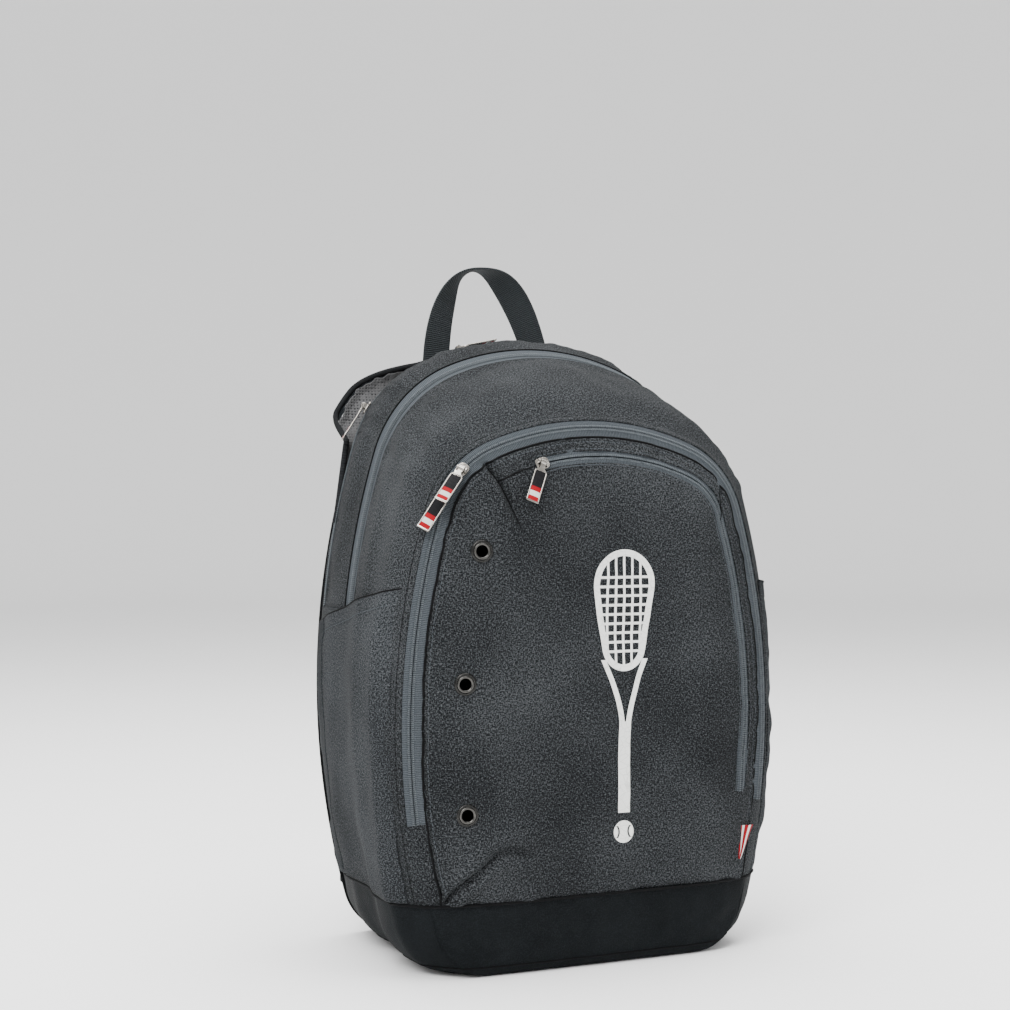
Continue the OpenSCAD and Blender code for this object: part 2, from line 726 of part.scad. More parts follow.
frame_start = 7;
frame_thick = 1.6;
rail = 1.7;

module pull(s) {
    color(metal) pull_place(s) difference() {
        union() {
            rotate([90, 0, 0]) cylinder(r = eye_r, h = 4.6, center = true);
            translate([0, -2.3, -frame_thick / 2]) cube([frame_start + 1, 4.6, frame_thick]);
            translate([frame_start, -pull_width / 2, -frame_thick / 2])
                cube([pull_length - frame_start, pull_width, frame_thick]);
        }
        rotate([90, 0, 0]) cylinder(r = pin_r + 0.3, h = 8, center = true);
        translate([frame_start + rail, rail - pull_width / 2, -2])
            cube([pull_length - frame_start - 2 * rail, pull_width - 2 * rail, 4]);
    }
}

module insert(s) {
    color("#2a2c30") pull_place(s)
        translate([frame_start + rail, rail - pull_width / 2, -0.5])
            cube([pull_length - frame_start - 2 * rail, pull_width - 2 * rail, 1]);
}

module slider_racket_side() { slider(racket_side); }
module pull_racket_side() { pull(racket_side); }
module insert_racket_side() { insert(racket_side); }
module slider_racket_top() { slider(racket_top); }
module pull_racket_top() { pull(racket_top); }
module insert_racket_top() { insert(racket_top); }
module slider_main_upper() { slider(main_upper); }
module pull_main_upper() { pull(main_upper); }
module insert_main_upper() { insert(main_upper); }
module slider_main_lower() { slider(main_lower); }
module pull_main_lower() { pull(main_lower); }
module insert_main_lower() { insert(main_lower); }
module slider_front_upper() { slider(front_upper); }
module pull_front_upper() { pull(front_upper); }
module insert_front_upper() { insert(front_upper); }
module slider_front_lower() { slider(front_lower); }
module pull_front_lower() { pull(front_lower); }
module insert_front_lower() { insert(front_lower); }
module slider_pocket() { slider(pocket_slider); }
module pull_pocket() { pull(pocket_slider); }
module insert_pocket() { insert(pocket_slider); }

base_tray();
base_piping();
base_board();
back_panel();
back_pad_left();
back_pad_right();
lumbar_pad();
racket_sleeve();
sleeve_divider();
main_shell();
rear_gusset();
main_front_wall();
laptop_sleeve();
side_pocket_left();
side_pocket_right();
front_panel_lower();
front_panel();
pocket_lining();
front_zip_body();
front_zip_flap();
racket_zip();
main_zip();
pocket_zip();
haul_handle();
shoulder_strap_left();
shoulder_strap_right();
strap_webbing_left();
strap_webbing_right();
ladder_lock_left();
ladder_lock_right();
strap_anchor_left();
strap_anchor_right();
strap_yoke();
vent_eyelets();
eyelet_washers();
racket_graphic();
ball_graphic();
side_flag();
slider_racket_side();
pull_racket_side();
insert_racket_side();
slider_racket_top();
pull_racket_top();
insert_racket_top();
slider_main_upper();
pull_main_upper();
insert_main_upper();
slider_main_lower();
pull_main_lower();
insert_main_lower();
slider_front_upper();
pull_front_upper();
insert_front_upper();
slider_front_lower();
pull_front_lower();
insert_front_lower();
slider_pocket();
pull_pocket();
insert_pocket();
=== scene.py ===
"""Racket backpack: cloth, zips, hardware, padding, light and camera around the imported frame."""

import math
from contextlib import contextmanager

import bmesh
import bpy
import numpy as np
from mathutils import Matrix, Vector


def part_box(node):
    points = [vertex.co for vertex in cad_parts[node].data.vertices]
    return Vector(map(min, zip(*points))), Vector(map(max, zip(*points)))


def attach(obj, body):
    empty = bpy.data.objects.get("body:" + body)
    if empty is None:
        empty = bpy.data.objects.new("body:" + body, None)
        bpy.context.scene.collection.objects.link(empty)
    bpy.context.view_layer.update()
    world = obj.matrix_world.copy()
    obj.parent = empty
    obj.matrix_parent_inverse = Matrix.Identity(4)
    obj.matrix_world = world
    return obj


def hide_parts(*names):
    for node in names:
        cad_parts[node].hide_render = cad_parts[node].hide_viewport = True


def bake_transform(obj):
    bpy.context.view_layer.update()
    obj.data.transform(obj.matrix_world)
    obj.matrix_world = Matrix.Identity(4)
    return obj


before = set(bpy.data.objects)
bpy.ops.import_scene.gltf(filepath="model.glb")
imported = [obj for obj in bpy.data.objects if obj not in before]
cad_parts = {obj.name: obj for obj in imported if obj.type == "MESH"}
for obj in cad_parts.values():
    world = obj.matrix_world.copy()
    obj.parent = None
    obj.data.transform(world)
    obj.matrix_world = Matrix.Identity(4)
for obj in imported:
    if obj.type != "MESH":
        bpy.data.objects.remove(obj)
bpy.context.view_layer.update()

# ---- outlines: millimetres, angles in degrees from straight up at the crown ---------------------

MM = 0.001
CROWN_END, SHOULDER_END, SIDE_END, FOOT_END = 22.0, 73.0, 106.0, 180.0
FOOT_R = 45.0
DEPTHS = [-90, -82, -64, -36, 2, 34, 66, 92]
HALF_WIDTHS = [151, 160, 173, 173, 166, 167, 162, 154]
HEIGHTS = [407, 416, 436, 453, 468, 482, 476, 462]
SHOULDERS = [72, 82, 98, 110, 108, 104, 98, 95]

FRONT_Y, CORNER_Y, MAIN_ZIP_Y, RACKET_ZIP_Y, BACK_Y = -90.0, -82.0, 2.0, 66.0, 92.0
BASE_Z, FOLD_Z, SIDE_ZIP_END = 55.0, 112.0, 268.0
TAPE = 8.0
MIDDLE = np.array([0.0, 0.0, 230.0])
BEHIND = np.array([0.0, 300.0, 230.0])  # a centre for sheets that face forwards
AHEAD = np.array([0.0, -300.0, 230.0])  # a centre for sheets that face back
THICK = {"front": 1.6, "body": 1.9, "sleeve": 1.7, "pocket": 1.5, "base": 2.0, "back": 2.0, "wall": 2.2,
         "mesh": 0.7, "tape": 0.6, "cover": 0.5, "print": 0.18}  # cloth thickness in millimetres


def sind(a):
    return np.sin(np.radians(a))


def cosd(a):
    return np.cos(np.radians(a))


def smooth(v):
    t = np.clip(v, 0, 1)
    return t * t * (3 - 2 * t)


def through(y, values):
    """A smooth curve through the ribs' values that doesn't overshoot them."""
    xs, ys = np.array(DEPTHS, float), np.array(values, float)
    slope = np.diff(ys) / np.diff(xs)
    both = slope[:-1] * slope[1:]
    total = np.where(both > 0, slope[:-1] + slope[1:], 1.0)
    tangent = np.concatenate([slope[:1], np.where(both > 0, 2 * both / total, 0), slope[-1:]])
    i = np.clip(np.searchsorted(xs, y, side="right") - 1, 0, len(xs) - 2)
    h = xs[i + 1] - xs[i]
    t = np.clip((y - xs[i]) / h, 0, 1)
    return (ys[i] * (1 + 2 * t) * (1 - t) ** 2 + tangent[i] * h * t * (1 - t) ** 2
            + ys[i + 1] * t * t * (3 - 2 * t) + tangent[i + 1] * h * t * t * (t - 1))


def rib(y, inset=0.0):
    """Height, crown, shoulder, side and foot radii of the bag's outline at a depth."""
    y = np.asarray(y, float)
    w, h, rs = through(y, HALF_WIDTHS), through(y, HEIGHTS), through(y, SHOULDERS)
    a, b = sind(CROWN_END), 1 - sind(SHOULDER_END)
    c, d = cosd(CROWN_END) - 1, cosd(SIDE_END) - cosd(SHOULDER_END)
    e = w - rs * (sind(SHOULDER_END) - sind(CROWN_END))
    f = -h - rs * (cosd(SHOULDER_END) - cosd(CROWN_END)) + FOOT_R * (1 + cosd(SIDE_END))
    det = a * d - b * c
    return [h - inset, (e * d - b * f) / det - inset, rs - inset, (a * f - e * c) / det - inset,
            FOOT_R - inset]


def outline(r, angle):
    t = np.abs(angle)
    knots = [0, CROWN_END, SHOULDER_END, SIDE_END, FOOT_END]
    x, z = 0.0, r[0]
    for radius, low, high in zip(r[1:], knots[:-1], knots[1:]):
        part = np.clip(t, low, high)
        x = x + radius * (sind(part) - sind(low))
        z = z + radius * (cosd(part) - cosd(low))
    return np.sign(angle) * x, z


def side_angle(r, z):
    """Angle at which an outline's side arc passes a height."""
    top = outline(r, SHOULDER_END)[1]
    return np.degrees(np.arccos(np.clip((z - top) / r[3] + cosd(SHOULDER_END), -1, 1)))


def stack(*parts):
    return np.stack(np.broadcast_arrays(*parts), -1).astype(float)


def skin(y, angle, inset=0.0):
    x, z = outline(rib(y, inset), angle)
    return stack(x, y, z)


def edge_distance(x, z):
    """How far a point of the front lies inside the front zip's line."""
    h, r1, r2, r3, _ = rib(FRONT_Y)
    ax = np.abs(x)
    z1 = h - r1
    x2, z2 = (r1 - r2) * sind(CROWN_END), z1 + (r1 - r2) * cosd(CROWN_END)
    x3, z3 = x2 + (r2 - r3) * sind(SHOULDER_END), z2 + (r2 - r3) * cosd(SHOULDER_END)
    turn = np.degrees(np.arctan2(ax - x2, z - z2))
    on_shoulder = (turn > CROWN_END) & (turn < SHOULDER_END) & (z > z2)
    other = np.minimum(r1 - np.hypot(ax, z - z1), r3 - np.hypot(ax - x3, z - z3))
    return np.where(on_shoulder, r2 - np.hypot(ax - x2, z - z2), other)


def front_depth(x, z):
    """Depth of the domed front, which rounds under at the base."""
    reach = np.clip(edge_distance(x, z) / 70, 0, 1)
    dome = 17 * (1 - (1 - reach) ** 2.4)
    under = np.sqrt(1 - (1 - np.clip(z / 20, 0, 1)) ** 2)
    return FRONT_Y - dome * (1 - 0.45 * smooth((FOLD_Z - z) / FOLD_Z)) * under


WAVES = 9


def ripple(points, wavelength, seed):
    """Soft seeded waves of about unit height."""
    rng = np.random.default_rng(seed)
    total = 0.0
    for _ in range(WAVES):
        way = rng.normal(size=points.shape[-1])
        way *= 2 * math.pi / (wavelength * rng.uniform(0.7, 1.6) * np.linalg.norm(way))
        total = total + np.sin(points @ way + rng.uniform(0, 2 * math.pi))
    return total / math.sqrt(WAVES / 2)


def near_path(points, path):
    """Distance from points to a polyline in the plane, and how far along it, from 0 to 1."""
    path = np.asarray(path, float)
    lengths = np.linalg.norm(np.diff(path, axis=0), axis=1)
    starts = np.concatenate([[0], np.cumsum(lengths)]) / lengths.sum()
    best = np.full(points.shape[:-1], 1e9)
    along = np.zeros(points.shape[:-1])
    for i, length in enumerate(lengths):
        way = (path[i + 1] - path[i]) / length
        t = np.clip((points - path[i]) @ way, 0, length)
        far = np.linalg.norm(points - path[i] - t[..., None] * way, axis=-1)
        closer = far < best
        best = np.where(closer, far, best)
        along = np.where(closer, starts[i] + t / length * (starts[i + 1] - starts[i]), along)
    return best, along


def unit(v):
    return v / np.maximum(np.linalg.norm(v, axis=-1, keepdims=True), 1e-9)


def distance_run(path):
    return np.concatenate([[0], np.cumsum(np.linalg.norm(np.diff(path, axis=0), axis=1))])


def spaced(path, count):
    """The two coordinates of evenly spaced points along a flat path."""
    run = distance_run(path)
    marks = np.linspace(0, run[-1], count)
    return [np.interp(marks, run, path[:, k]) for k in (0, 1)]


def full_turn(count):
    return np.arange(count) * 2 * math.pi / count


# ---- mesh building ------------------------------------------------------------------------------


def new_piece(name, points, faces, uv=None):
    mesh = bpy.data.meshes.new(name)
    mesh.from_pydata((np.asarray(points, float) * MM).tolist(), [], [list(map(int, f)) for f in faces])
    if uv is not None:
        layer = mesh.uv_layers.new(name="cloth")
        loops = np.empty(len(mesh.loops), np.int64)
        mesh.loops.foreach_get("vertex_index", loops)
        layer.data.foreach_set("uv", np.asarray(uv, np.float32)[loops].ravel())
    mesh.update()
    piece = bpy.data.objects.new(name, mesh)
    bpy.context.collection.objects.link(piece)
    return piece


def grid_faces(rows, cols, start=0, around=False, keep=None):
    faces = []
    for i in range(rows - 1):
        for j in range(cols if around else cols - 1):
            if keep is None or keep[i, j]:
                k = (j + 1) % cols
                faces.append((start + i * cols + j, start + i * cols + k,
                              start + (i + 1) * cols + k, start + (i + 1) * cols + j))
    return faces


def cap_faces(first, last, count):
    """The two end faces of a tube, from the first point of its first ring and of its last."""
    return [tuple(first + k for k in range(count))[::-1], tuple(last + k for k in range(count))]


def metric_uv(grid):
    """Millimetre cloth coordinates of a grid, from the lengths along its rows and columns."""
    along = np.concatenate([[0], np.cumsum(np.linalg.norm(np.diff(grid, axis=1), axis=2).max(0))])
    down = np.concatenate([[0], np.cumsum(np.linalg.norm(np.diff(grid, axis=0), axis=2).max(1))])
    return stack(along[None, :], down[:, None])


class Sheets:
    """Grids of points gathered into one mesh."""

    def __init__(self):
        self.points, self.faces, self.uvs, self.count = [], [], [], 0

    def add(self, grid, keep=None, around=False, uv=None):
        rows, cols = grid.shape[:2]
        self.faces += grid_faces(rows, cols, self.count, around, keep)
        self.points.append(grid.reshape(-1, 3))
        self.uvs.append((metric_uv(grid) if uv is None else uv).reshape(-1, 2))
        self.count += rows * cols
        return self

    def add_mesh(self, points, faces):
        self.faces += [tuple(v + self.count for v in f) for f in faces]
        self.points.append(points)
        self.uvs.append(points[:, :2])
        self.count += len(points)
        return self

    def build(self, name):
        return new_piece(name, np.concatenate(self.points), self.faces, np.concatenate(self.uvs))


def settle(piece):
    """Applies a piece's modifiers."""
    graph = bpy.context.evaluated_depsgraph_get()
    done = bpy.data.meshes.new_from_object(piece.evaluated_get(graph))
    piece.modifiers.clear()
    old, piece.data = piece.data, done
    bpy.data.meshes.remove(old)
    return piece


@contextmanager
def editing(piece):
    """A piece's mesh open in bmesh, written back at the end."""
    work = bmesh.new()
    work.from_mesh(piece.data)
    yield work
    work.to_mesh(piece.data)
    work.free()


def tidy_mesh(piece, merge=0.00004, outside=True):
    with editing(piece) as work:
        if merge:
            bmesh.ops.remove_doubles(work, verts=work.verts, dist=merge)
        if outside:
            bmesh.ops.recalc_face_normals(work, faces=work.faces)
    piece.data.shade_smooth()
    return piece


def face_outwards(piece, centre=MIDDLE):
    """Turns an open sheet's faces away from a centre."""
    tidy_mesh(piece)
    mesh = piece.data
    count = len(mesh.polygons)
    normals, middles = np.empty(count * 3, np.float32), np.empty(count * 3, np.float32)
    mesh.polygons.foreach_get("normal", normals)
    mesh.polygons.foreach_get("center", middles)
    out = middles.reshape(-1, 3) - centre * MM
    if (normals.reshape(-1, 3) * out).sum() < 0:
        mesh.flip_normals()
    return piece


def thicken(piece, thick, centre=MIDDLE):
    """Gives an open sheet its cloth thickness on the inner side, with a closed rim."""
    face_outwards(piece, centre)
    solid = piece.modifiers.new("thickness", "SOLIDIFY")
    solid.thickness = thick * MM
    solid.offset = -1
    solid.use_rim = True
    solid.use_even_offset = False
    settle(piece)
    piece.data.shade_smooth()
    edge = piece.modifiers.new("edge", "WEIGHTED_NORMAL")
    edge.keep_sharp = False
    return settle(piece)


def tube(path, radius, sides=8, closed=False):
    """Points and faces of a round cord along a path."""
    path = np.asarray(path, float)
    way = unit(np.roll(path, -1, 0) - np.roll(path, 1, 0) if closed else np.gradient(path, axis=0))
    nearly_up = np.array([0.02, 0.05, 1.0])
    across = unit(np.cross(way, nearly_up))
    out = np.cross(across, way)
    turns = full_turn(sides)
    radius = np.broadcast_to(np.asarray(radius, float), (len(path),))[:, None, None]
    rings = path[:, None] + radius * (np.cos(turns)[None, :, None] * across[:, None]
                                      + np.sin(turns)[None, :, None] * out[:, None])
    faces = grid_faces(len(path), sides, around=True)
    last = (len(path) - 1) * sides
    if closed:
        faces += [(last + k, last + (k + 1) % sides, (k + 1) % sides, k) for k in range(sides)]
    else:
        faces += cap_faces(0, last, sides)
    return rings.reshape(-1, 3), faces


def resample(path, pitch):
    """Points a fixed distance apart along a path, with the way it runs there."""
    path = np.asarray(path, float)
    run = distance_run(path)
    marks = np.arange(pitch / 2, run[-1], pitch)
    points = np.stack([np.interp(marks, run, path[:, k]) for k in range(3)], -1)
    return points, unit(np.gradient(points, axis=0)), marks / run[-1]


STITCH_PITCH, STITCH_SIDES = 3.3, 6
STITCH_SUNK = 0.08 / 0.3  # share of its radius that a stitch lies below the cloth
# Distance along the stitch and radius there, in millimetres
STITCH_RING = [(-1.25, 0.05), (-0.8, 0.26), (0, 0.32), (0.8, 0.26), (1.25, 0.05)]


def stitches(path, normal):
    """A row of sewn stitches along a path on a surface."""
    points, way, at = resample(path, STITCH_PITCH)
    dense = np.linspace(0, 1, len(normal))
    up = unit(np.stack([np.interp(at, dense, normal[:, k]) for k in range(3)], -1))
    across = np.cross(way, up)
    turns = full_turn(STITCH_SIDES)
    rings_in_one = len(STITCH_RING)
    parts, faces = [], []
    for k in range(len(points)):
        start = k * rings_in_one * STITCH_SIDES
        rings = [points[k] + along * way[k] + r * (np.cos(turns)[:, None] * across[k]
                 + (np.sin(turns)[:, None] - STITCH_SUNK) * up[k]) for along, r in STITCH_RING]
        parts.append(np.concatenate(rings))
        faces += grid_faces(rings_in_one, STITCH_SIDES, start, around=True)
        faces += cap_faces(start, start + (rings_in_one - 1) * STITCH_SIDES, STITCH_SIDES)
    return np.concatenate(parts), faces


# ---- materials ----------------------------------------------------------------------------------


class Shader:
    """A node material under construction."""

    def __init__(self, name):
        self.material = bpy.data.materials.new(name)
        self.material.use_nodes = True
        self.tree = self.material.node_tree
        self.tree.nodes.clear()
        self.surface = self.node("ShaderNodeBsdfPrincipled")
        output = self.node("ShaderNodeOutputMaterial")
        self.join(self.surface.outputs[0], output.inputs[0])

    def node(self, kind, inputs=None, **settings):
        made = self.tree.nodes.new(kind)
        for key, value in settings.items():
            setattr(made, key, value)
        for key, value in (inputs or {}).items():
            if isinstance(value, bpy.types.NodeSocket):
                self.join(value, made.inputs[key])
            else:
                made.inputs[key].default_value = value
        return made

    def join(self, out, into):
        self.tree.links.new(out, into)

    def place(self, source, scale):
        coords = self.node("ShaderNodeTexCoord")
        return self.node("ShaderNodeMapping", {"Vector": coords.outputs[source], "Scale": scale}).outputs[0]

    def uv(self):
        return self.place("UV", (1, 1, 1))

    def here(self):
        return self.place("Object", (1, 1, 1))

    def wave(self, vector, scale, direction, **more):
        inputs = {"Vector": vector, "Scale": scale, **{key.title(): value for key, value in more.items()}}
        return self.node("ShaderNodeTexWave", inputs, bands_direction=direction).outputs["Fac"]

    def noise(self, vector, scale, detail=2.0, roughness=0.5):
        return self.node("ShaderNodeTexNoise", {"Vector": vector, "Scale": scale, "Detail": detail,
                                                "Roughness": roughness}).outputs["Fac"]

    def math(self, operation, a, b=0.0):
        return self.node("ShaderNodeMath", {0: a, 1: b}, operation=operation).outputs[0]

    def plus(self, base, other, share):
        """base + share * other"""
        return self.math("ADD", base, self.math("MULTIPLY", other, share))

    def ramp(self, factor, stops):
        made = self.node("ShaderNodeValToRGB", {"Fac": factor})
        for k, (at, colour) in enumerate(stops):
            stop = made.color_ramp.elements[k] if k < 2 else made.color_ramp.elements.new(at)
            stop.position = at
            stop.color = (*colour, 1)
        return made.outputs[0]

    def bump(self, height, strength, distance=0.001, under=None):
        inputs = {"Height": height, "Strength": strength, "Distance": distance}
        if under is not None:
            inputs["Normal"] = under
        return self.node("ShaderNodeBump", inputs).outputs[0]

    def finish(self, colour=None, rough=None, normal=None, **plain):
        for key, value in (("Base Color", colour), ("Roughness", rough), ("Normal", normal)):
            if value is None:
                continue
            if isinstance(value, bpy.types.NodeSocket):
                self.join(value, self.surface.inputs[key])
            else:
                self.surface.inputs[key].default_value = value
        for key, value in plain.items():
            self.surface.inputs[key.replace("_", " ").title().replace("Ior", "IOR")].default_value = value
        return self.material


RIB_SCALE = 0.314  # wave scale that gives one rib per millimetre of pitch


def melange(name, dark, mid, light):
    """Heathered woven cloth: pale and dark threads both ways, on a fine weave."""
    s = Shader(name)
    warp = s.noise(s.place("UV", (0.5, 1.3, 1)), 1.0, 3.0, 0.7)
    weft = s.noise(s.place("UV", (1.3, 0.5, 1)), 1.0, 3.0, 0.7)
    fleck = s.noise(s.uv(), 1.0, 4.0, 0.85)
    threads = s.plus(s.math("MULTIPLY", s.math("ADD", warp, weft), 0.32), fleck, 0.36)
    wear = s.noise(s.here(), 9.0, 3.0, 0.5)
    tone = s.plus(threads, s.math("SUBTRACT", wear, 0.5), 0.10)
    colour = s.ramp(tone, [(0.43, dark), (0.572, light), (0.5, mid)])
    weave_u = s.wave(s.uv(), 0.42, "X", distortion=1.2, detail=1.0)
    weave_v = s.wave(s.uv(), 0.42, "Y", distortion=1.2, detail=1.0)
    weave = s.math("MULTIPLY", weave_u, weave_v)
    normal = s.bump(weave, 0.35, 0.0004, s.bump(tone, 0.6, 0.0006))
    rough = s.plus(0.74, fleck, 0.2)
    return s.finish(colour, rough, normal, sheen_weight=0.01, sheen_roughness=0.5, specular_ior_level=0.05)


def ribbed(name, dark, light, pitch, strength=0.6, rough=0.8, sheen=0.0):
    """Woven tape or webbing with ribs across it."""
    s = Shader(name)
    wave = s.wave(s.uv(), RIB_SCALE / pitch, "Y", distortion=0.6, detail=1.0)
    fine = s.wave(s.uv(), RIB_SCALE / (pitch * 0.8), "X", distortion=0.8, detail=1.0)
    speck = s.noise(s.uv(), 1.1, 3.0, 0.7)
    tone = s.plus(s.math("MULTIPLY", wave, 0.35), speck, 0.65)
    colour = s.ramp(tone, [(0.25, dark), (0.75, light)])
    normal = s.bump(s.plus(wave, fine, 0.4), strength, 0.0005)
    return s.finish(colour, rough, normal, sheen_weight=sheen, specular_ior_level=0.1)


def coated_cloth(name, dark, light):
    """Dark coated cloth with a fine pebbled weave and a slight gloss."""
    s = Shader(name)
    pebble = s.node("ShaderNodeTexVoronoi", {"Vector": s.uv(), "Scale": 1.1}).outputs["Distance"]
    cloud = s.noise(s.here(), 30.0, 4.0, 0.6)
    tone = s.plus(s.math("MULTIPLY", pebble, 0.5), cloud, 0.5)
    colour = s.ramp(tone, [(0.2, dark), (0.75, light)])
    normal = s.bump(pebble, 0.5, 0.0005, s.bump(cloud, 0.3, 0.001))
    return s.finish(colour, s.plus(0.55, cloud, 0.2), normal, specular_ior_level=0.04)


def air_mesh(name, hole, thread, scale):
    """Knitted spacer mesh with round holes."""
    s = Shader(name)
    cells = s.node("ShaderNodeTexVoronoi", {"Vector": s.place("Object", (1, 0.02, 1)), "Scale": scale,
                                            "Randomness": 0.15}).outputs["Distance"]
    fine = s.noise(s.here(), scale * 2.4, 3.0, 0.7)
    edge = s.plus(cells, s.math("SUBTRACT", fine, 0.5), 0.2)
    colour = s.ramp(edge, [(0.24, hole), (0.42, thread)])
    return s.finish(colour, 0.85, s.bump(edge, 0.9, 0.0012), sheen_weight=0.02, specular_ior_level=0.1)


def polished_metal(name, colour, low, high):
    """Plated metal with fine scratches and worn, duller patches."""
    s = Shader(name)
    patch = s.noise(s.here(), 220.0, 4.0, 0.6)
    scratch = s.noise(s.place("Object", (900, 120, 400)), 1.0, 3.0, 0.7)
    rough = s.plus(low, patch, high - low)
    shade = s.ramp(patch, [(0.3, tuple(v * 0.82 for v in colour)), (0.7, colour)])
    return s.finish(shade, rough, s.bump(scratch, 0.06, 0.0002), metallic=1.0)


def printed_film(name):
    """Off-white transfer print over the weave, slightly cracked."""
    s = Shader(name)
    weave = s.noise(s.uv(), 1.2, 3.0, 0.7)
    crack = s.node("ShaderNodeTexVoronoi", {"Vector": s.uv(), "Scale": 0.16}, feature="DISTANCE_TO_EDGE")
    line = s.ramp(crack.outputs["Distance"], [(0.0, (0.62, 0.63, 0.6)), (0.05, (0.8, 0.81, 0.78))])
    grain = s.ramp(weave, [(0.3, (0.82, 0.82, 0.82)), (0.7, (1, 1, 1))])
    colour = s.node("ShaderNodeMix", {0: 1.0, 6: line, 7: grain}, data_type="RGBA", blend_type="MULTIPLY")
    return s.finish(colour.outputs[2], 0.6, s.bump(weave, 0.35, 0.0004), specular_ior_level=0.3)


INK_DARK, INK_RED, INK_WHITE = (0.006, 0.006, 0.007), (0.24, 0.003, 0.008), (0.55, 0.55, 0.53)


def striped_ribbon(name, length):
    """Dark woven ribbon with a red, white and red band near its tip; UV Y runs to the tip in mm."""
    s = Shader(name)
    uv = s.node("ShaderNodeTexCoord").outputs["UV"]
    split = s.node("ShaderNodeSeparateXYZ", {0: uv})
    at = s.math("DIVIDE", split.outputs[1], length)
    bands = s.ramp(at, [(0.0, INK_DARK), (0.62, INK_RED), (0.73, INK_WHITE), (0.85, INK_RED),
                        (0.955, INK_DARK)])
    bands.node.color_ramp.interpolation = "CONSTANT"
    rib = s.wave(uv, 0.5, "Y", distortion=0.3)
    return s.finish(bands, 0.7, s.bump(rib, 0.5, 0.0003), specular_ior_level=0.1)


def striped_label(name):
    """Red woven ribbon with a white stripe down its middle; UV X runs across it from -1 to 1."""
    s = Shader(name)
    uv = s.node("ShaderNodeTexCoord").outputs["UV"]
    split = s.node("ShaderNodeSeparateXYZ", {0: uv})
    bands = s.ramp(s.math("ABSOLUTE", split.outputs[0]), [(0.0, INK_WHITE), (0.34, INK_RED)])
    bands.node.color_ramp.interpolation = "CONSTANT"
    return s.finish(bands, 0.65, s.bump(s.wave(uv, 0.6, "Y"), 0.5, 0.0003), specular_ior_level=0.1)


def moulded_plastic(name, colour):
    """Moulded plastic with a fine grain."""
    s = Shader(name)
    grain = s.noise(s.here(), 900.0, 2.0, 0.5)
    shade = s.ramp(grain, [(0.3, tuple(v * 0.8 for v in colour)), (0.7, tuple(v * 1.2 for v in colour))])
    rough = s.plus(0.38, grain, 0.2)
    return s.finish(shade, rough, s.bump(grain, 0.15, 0.0002), specular_ior_level=0.45)


def pale_floor(name):
    s = Shader(name)
    haze = s.noise(s.here(), 3.0, 3.0, 0.5)
    return s.finish(s.ramp(haze, [(0.3, (0.94, 0.94, 0.94)), (0.7, (0.95, 0.95, 0.95))]), 0.8,
                    specular_ior_level=0.15)


CLOTH = melange("body_cloth", (0.002, 0.0023, 0.0026), (0.011, 0.0122, 0.0132), (0.068, 0.073, 0.078))
POCKET_CLOTH = melange("pocket_cloth", (0.003, 0.0035, 0.004), (0.0135, 0.015, 0.0165), (0.072, 0.078, 0.084))
STRIP_CLOTH = melange("strip_cloth", (0.002, 0.003, 0.003), (0.009, 0.0105, 0.012), (0.04, 0.045, 0.05))
BACK_CLOTH = melange("back_cloth", (0.003, 0.003, 0.004), (0.011, 0.012, 0.013), (0.034, 0.037, 0.04))
TAPE_CLOTH = ribbed("tape_weave", (0.018, 0.022, 0.026), (0.088, 0.1, 0.111), 1.3, strength=0.9)
COIL = ribbed("nylon_coil", (0.04, 0.047, 0.053), (0.13, 0.146, 0.158), 0.6, strength=0.3, rough=0.5)
# Near-black cord cloth for real piping and seams, and for cords that paint shade lines along creases, zip
# seams, the pocket mouth and the panel's edge
PIPING_AND_SHADE_LINES = ribbed("piping_and_shade_line_cloth", (0.001, 0.001, 0.0012), (0.0045, 0.005, 0.0056), 0.8)
BINDING = ribbed("binding_tape", (0.003, 0.0033, 0.0038), (0.012, 0.013, 0.0145), 0.8)
THREAD = ribbed("sewing_thread", (0.03, 0.036, 0.042), (0.075, 0.085, 0.095), 0.4, strength=0.4)
BASE_CLOTH = coated_cloth("base_cloth", (0.0013, 0.0017, 0.002), (0.0092, 0.011, 0.0122))
LINING_MESH = air_mesh("sleeve_mesh", (0.008, 0.008, 0.009), (0.085, 0.085, 0.087), 420.0)
BACK_MESH = air_mesh("back_mesh", (0.003, 0.003, 0.0035), (0.034, 0.036, 0.039), 300.0)
LINING = ribbed("lining_cloth", (0.02, 0.022, 0.026), (0.05, 0.055, 0.06), 1.2, strength=0.4)
WEBBING = ribbed("webbing_weave", (0.007, 0.009, 0.01), (0.038, 0.043, 0.046), 1.5, strength=0.9, sheen=0.02)
NICKEL = polished_metal("nickel_plate", (0.33, 0.312, 0.285), 0.1, 0.3)
RING_METAL = polished_metal("dark_nickel", (0.075, 0.073, 0.069), 0.12, 0.3)
DARK_METAL = polished_metal("burnished_steel", (0.03, 0.03, 0.029), 0.18, 0.36)
PRINT = printed_film("transfer_print")
RIBBON = striped_ribbon("pull_ribbon", 34.0)
LABEL = striped_label("label_ribbon")
PLASTIC = moulded_plastic("acetal", (0.012, 0.013, 0.015))
BOARD = moulded_plastic("stiffener_board", (0.02, 0.021, 0.023))


def dress(piece, material, body, slot, *replaced):
    piece.data.materials.clear()
    piece.data.materials.append(material)
    if body:
        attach(piece, body)
    if replaced:
        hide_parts(*replaced)
    return piece


def sew(name, sheets, material, body, slot, *replaced, hard=False):
    """Makes one dressed piece of loose parts; a hard one keeps its edges."""
    piece = tidy_mesh(sheets.build(name), merge=0)
    if hard:
        soften(piece)
    return dress(piece, material, body, slot, *replaced)


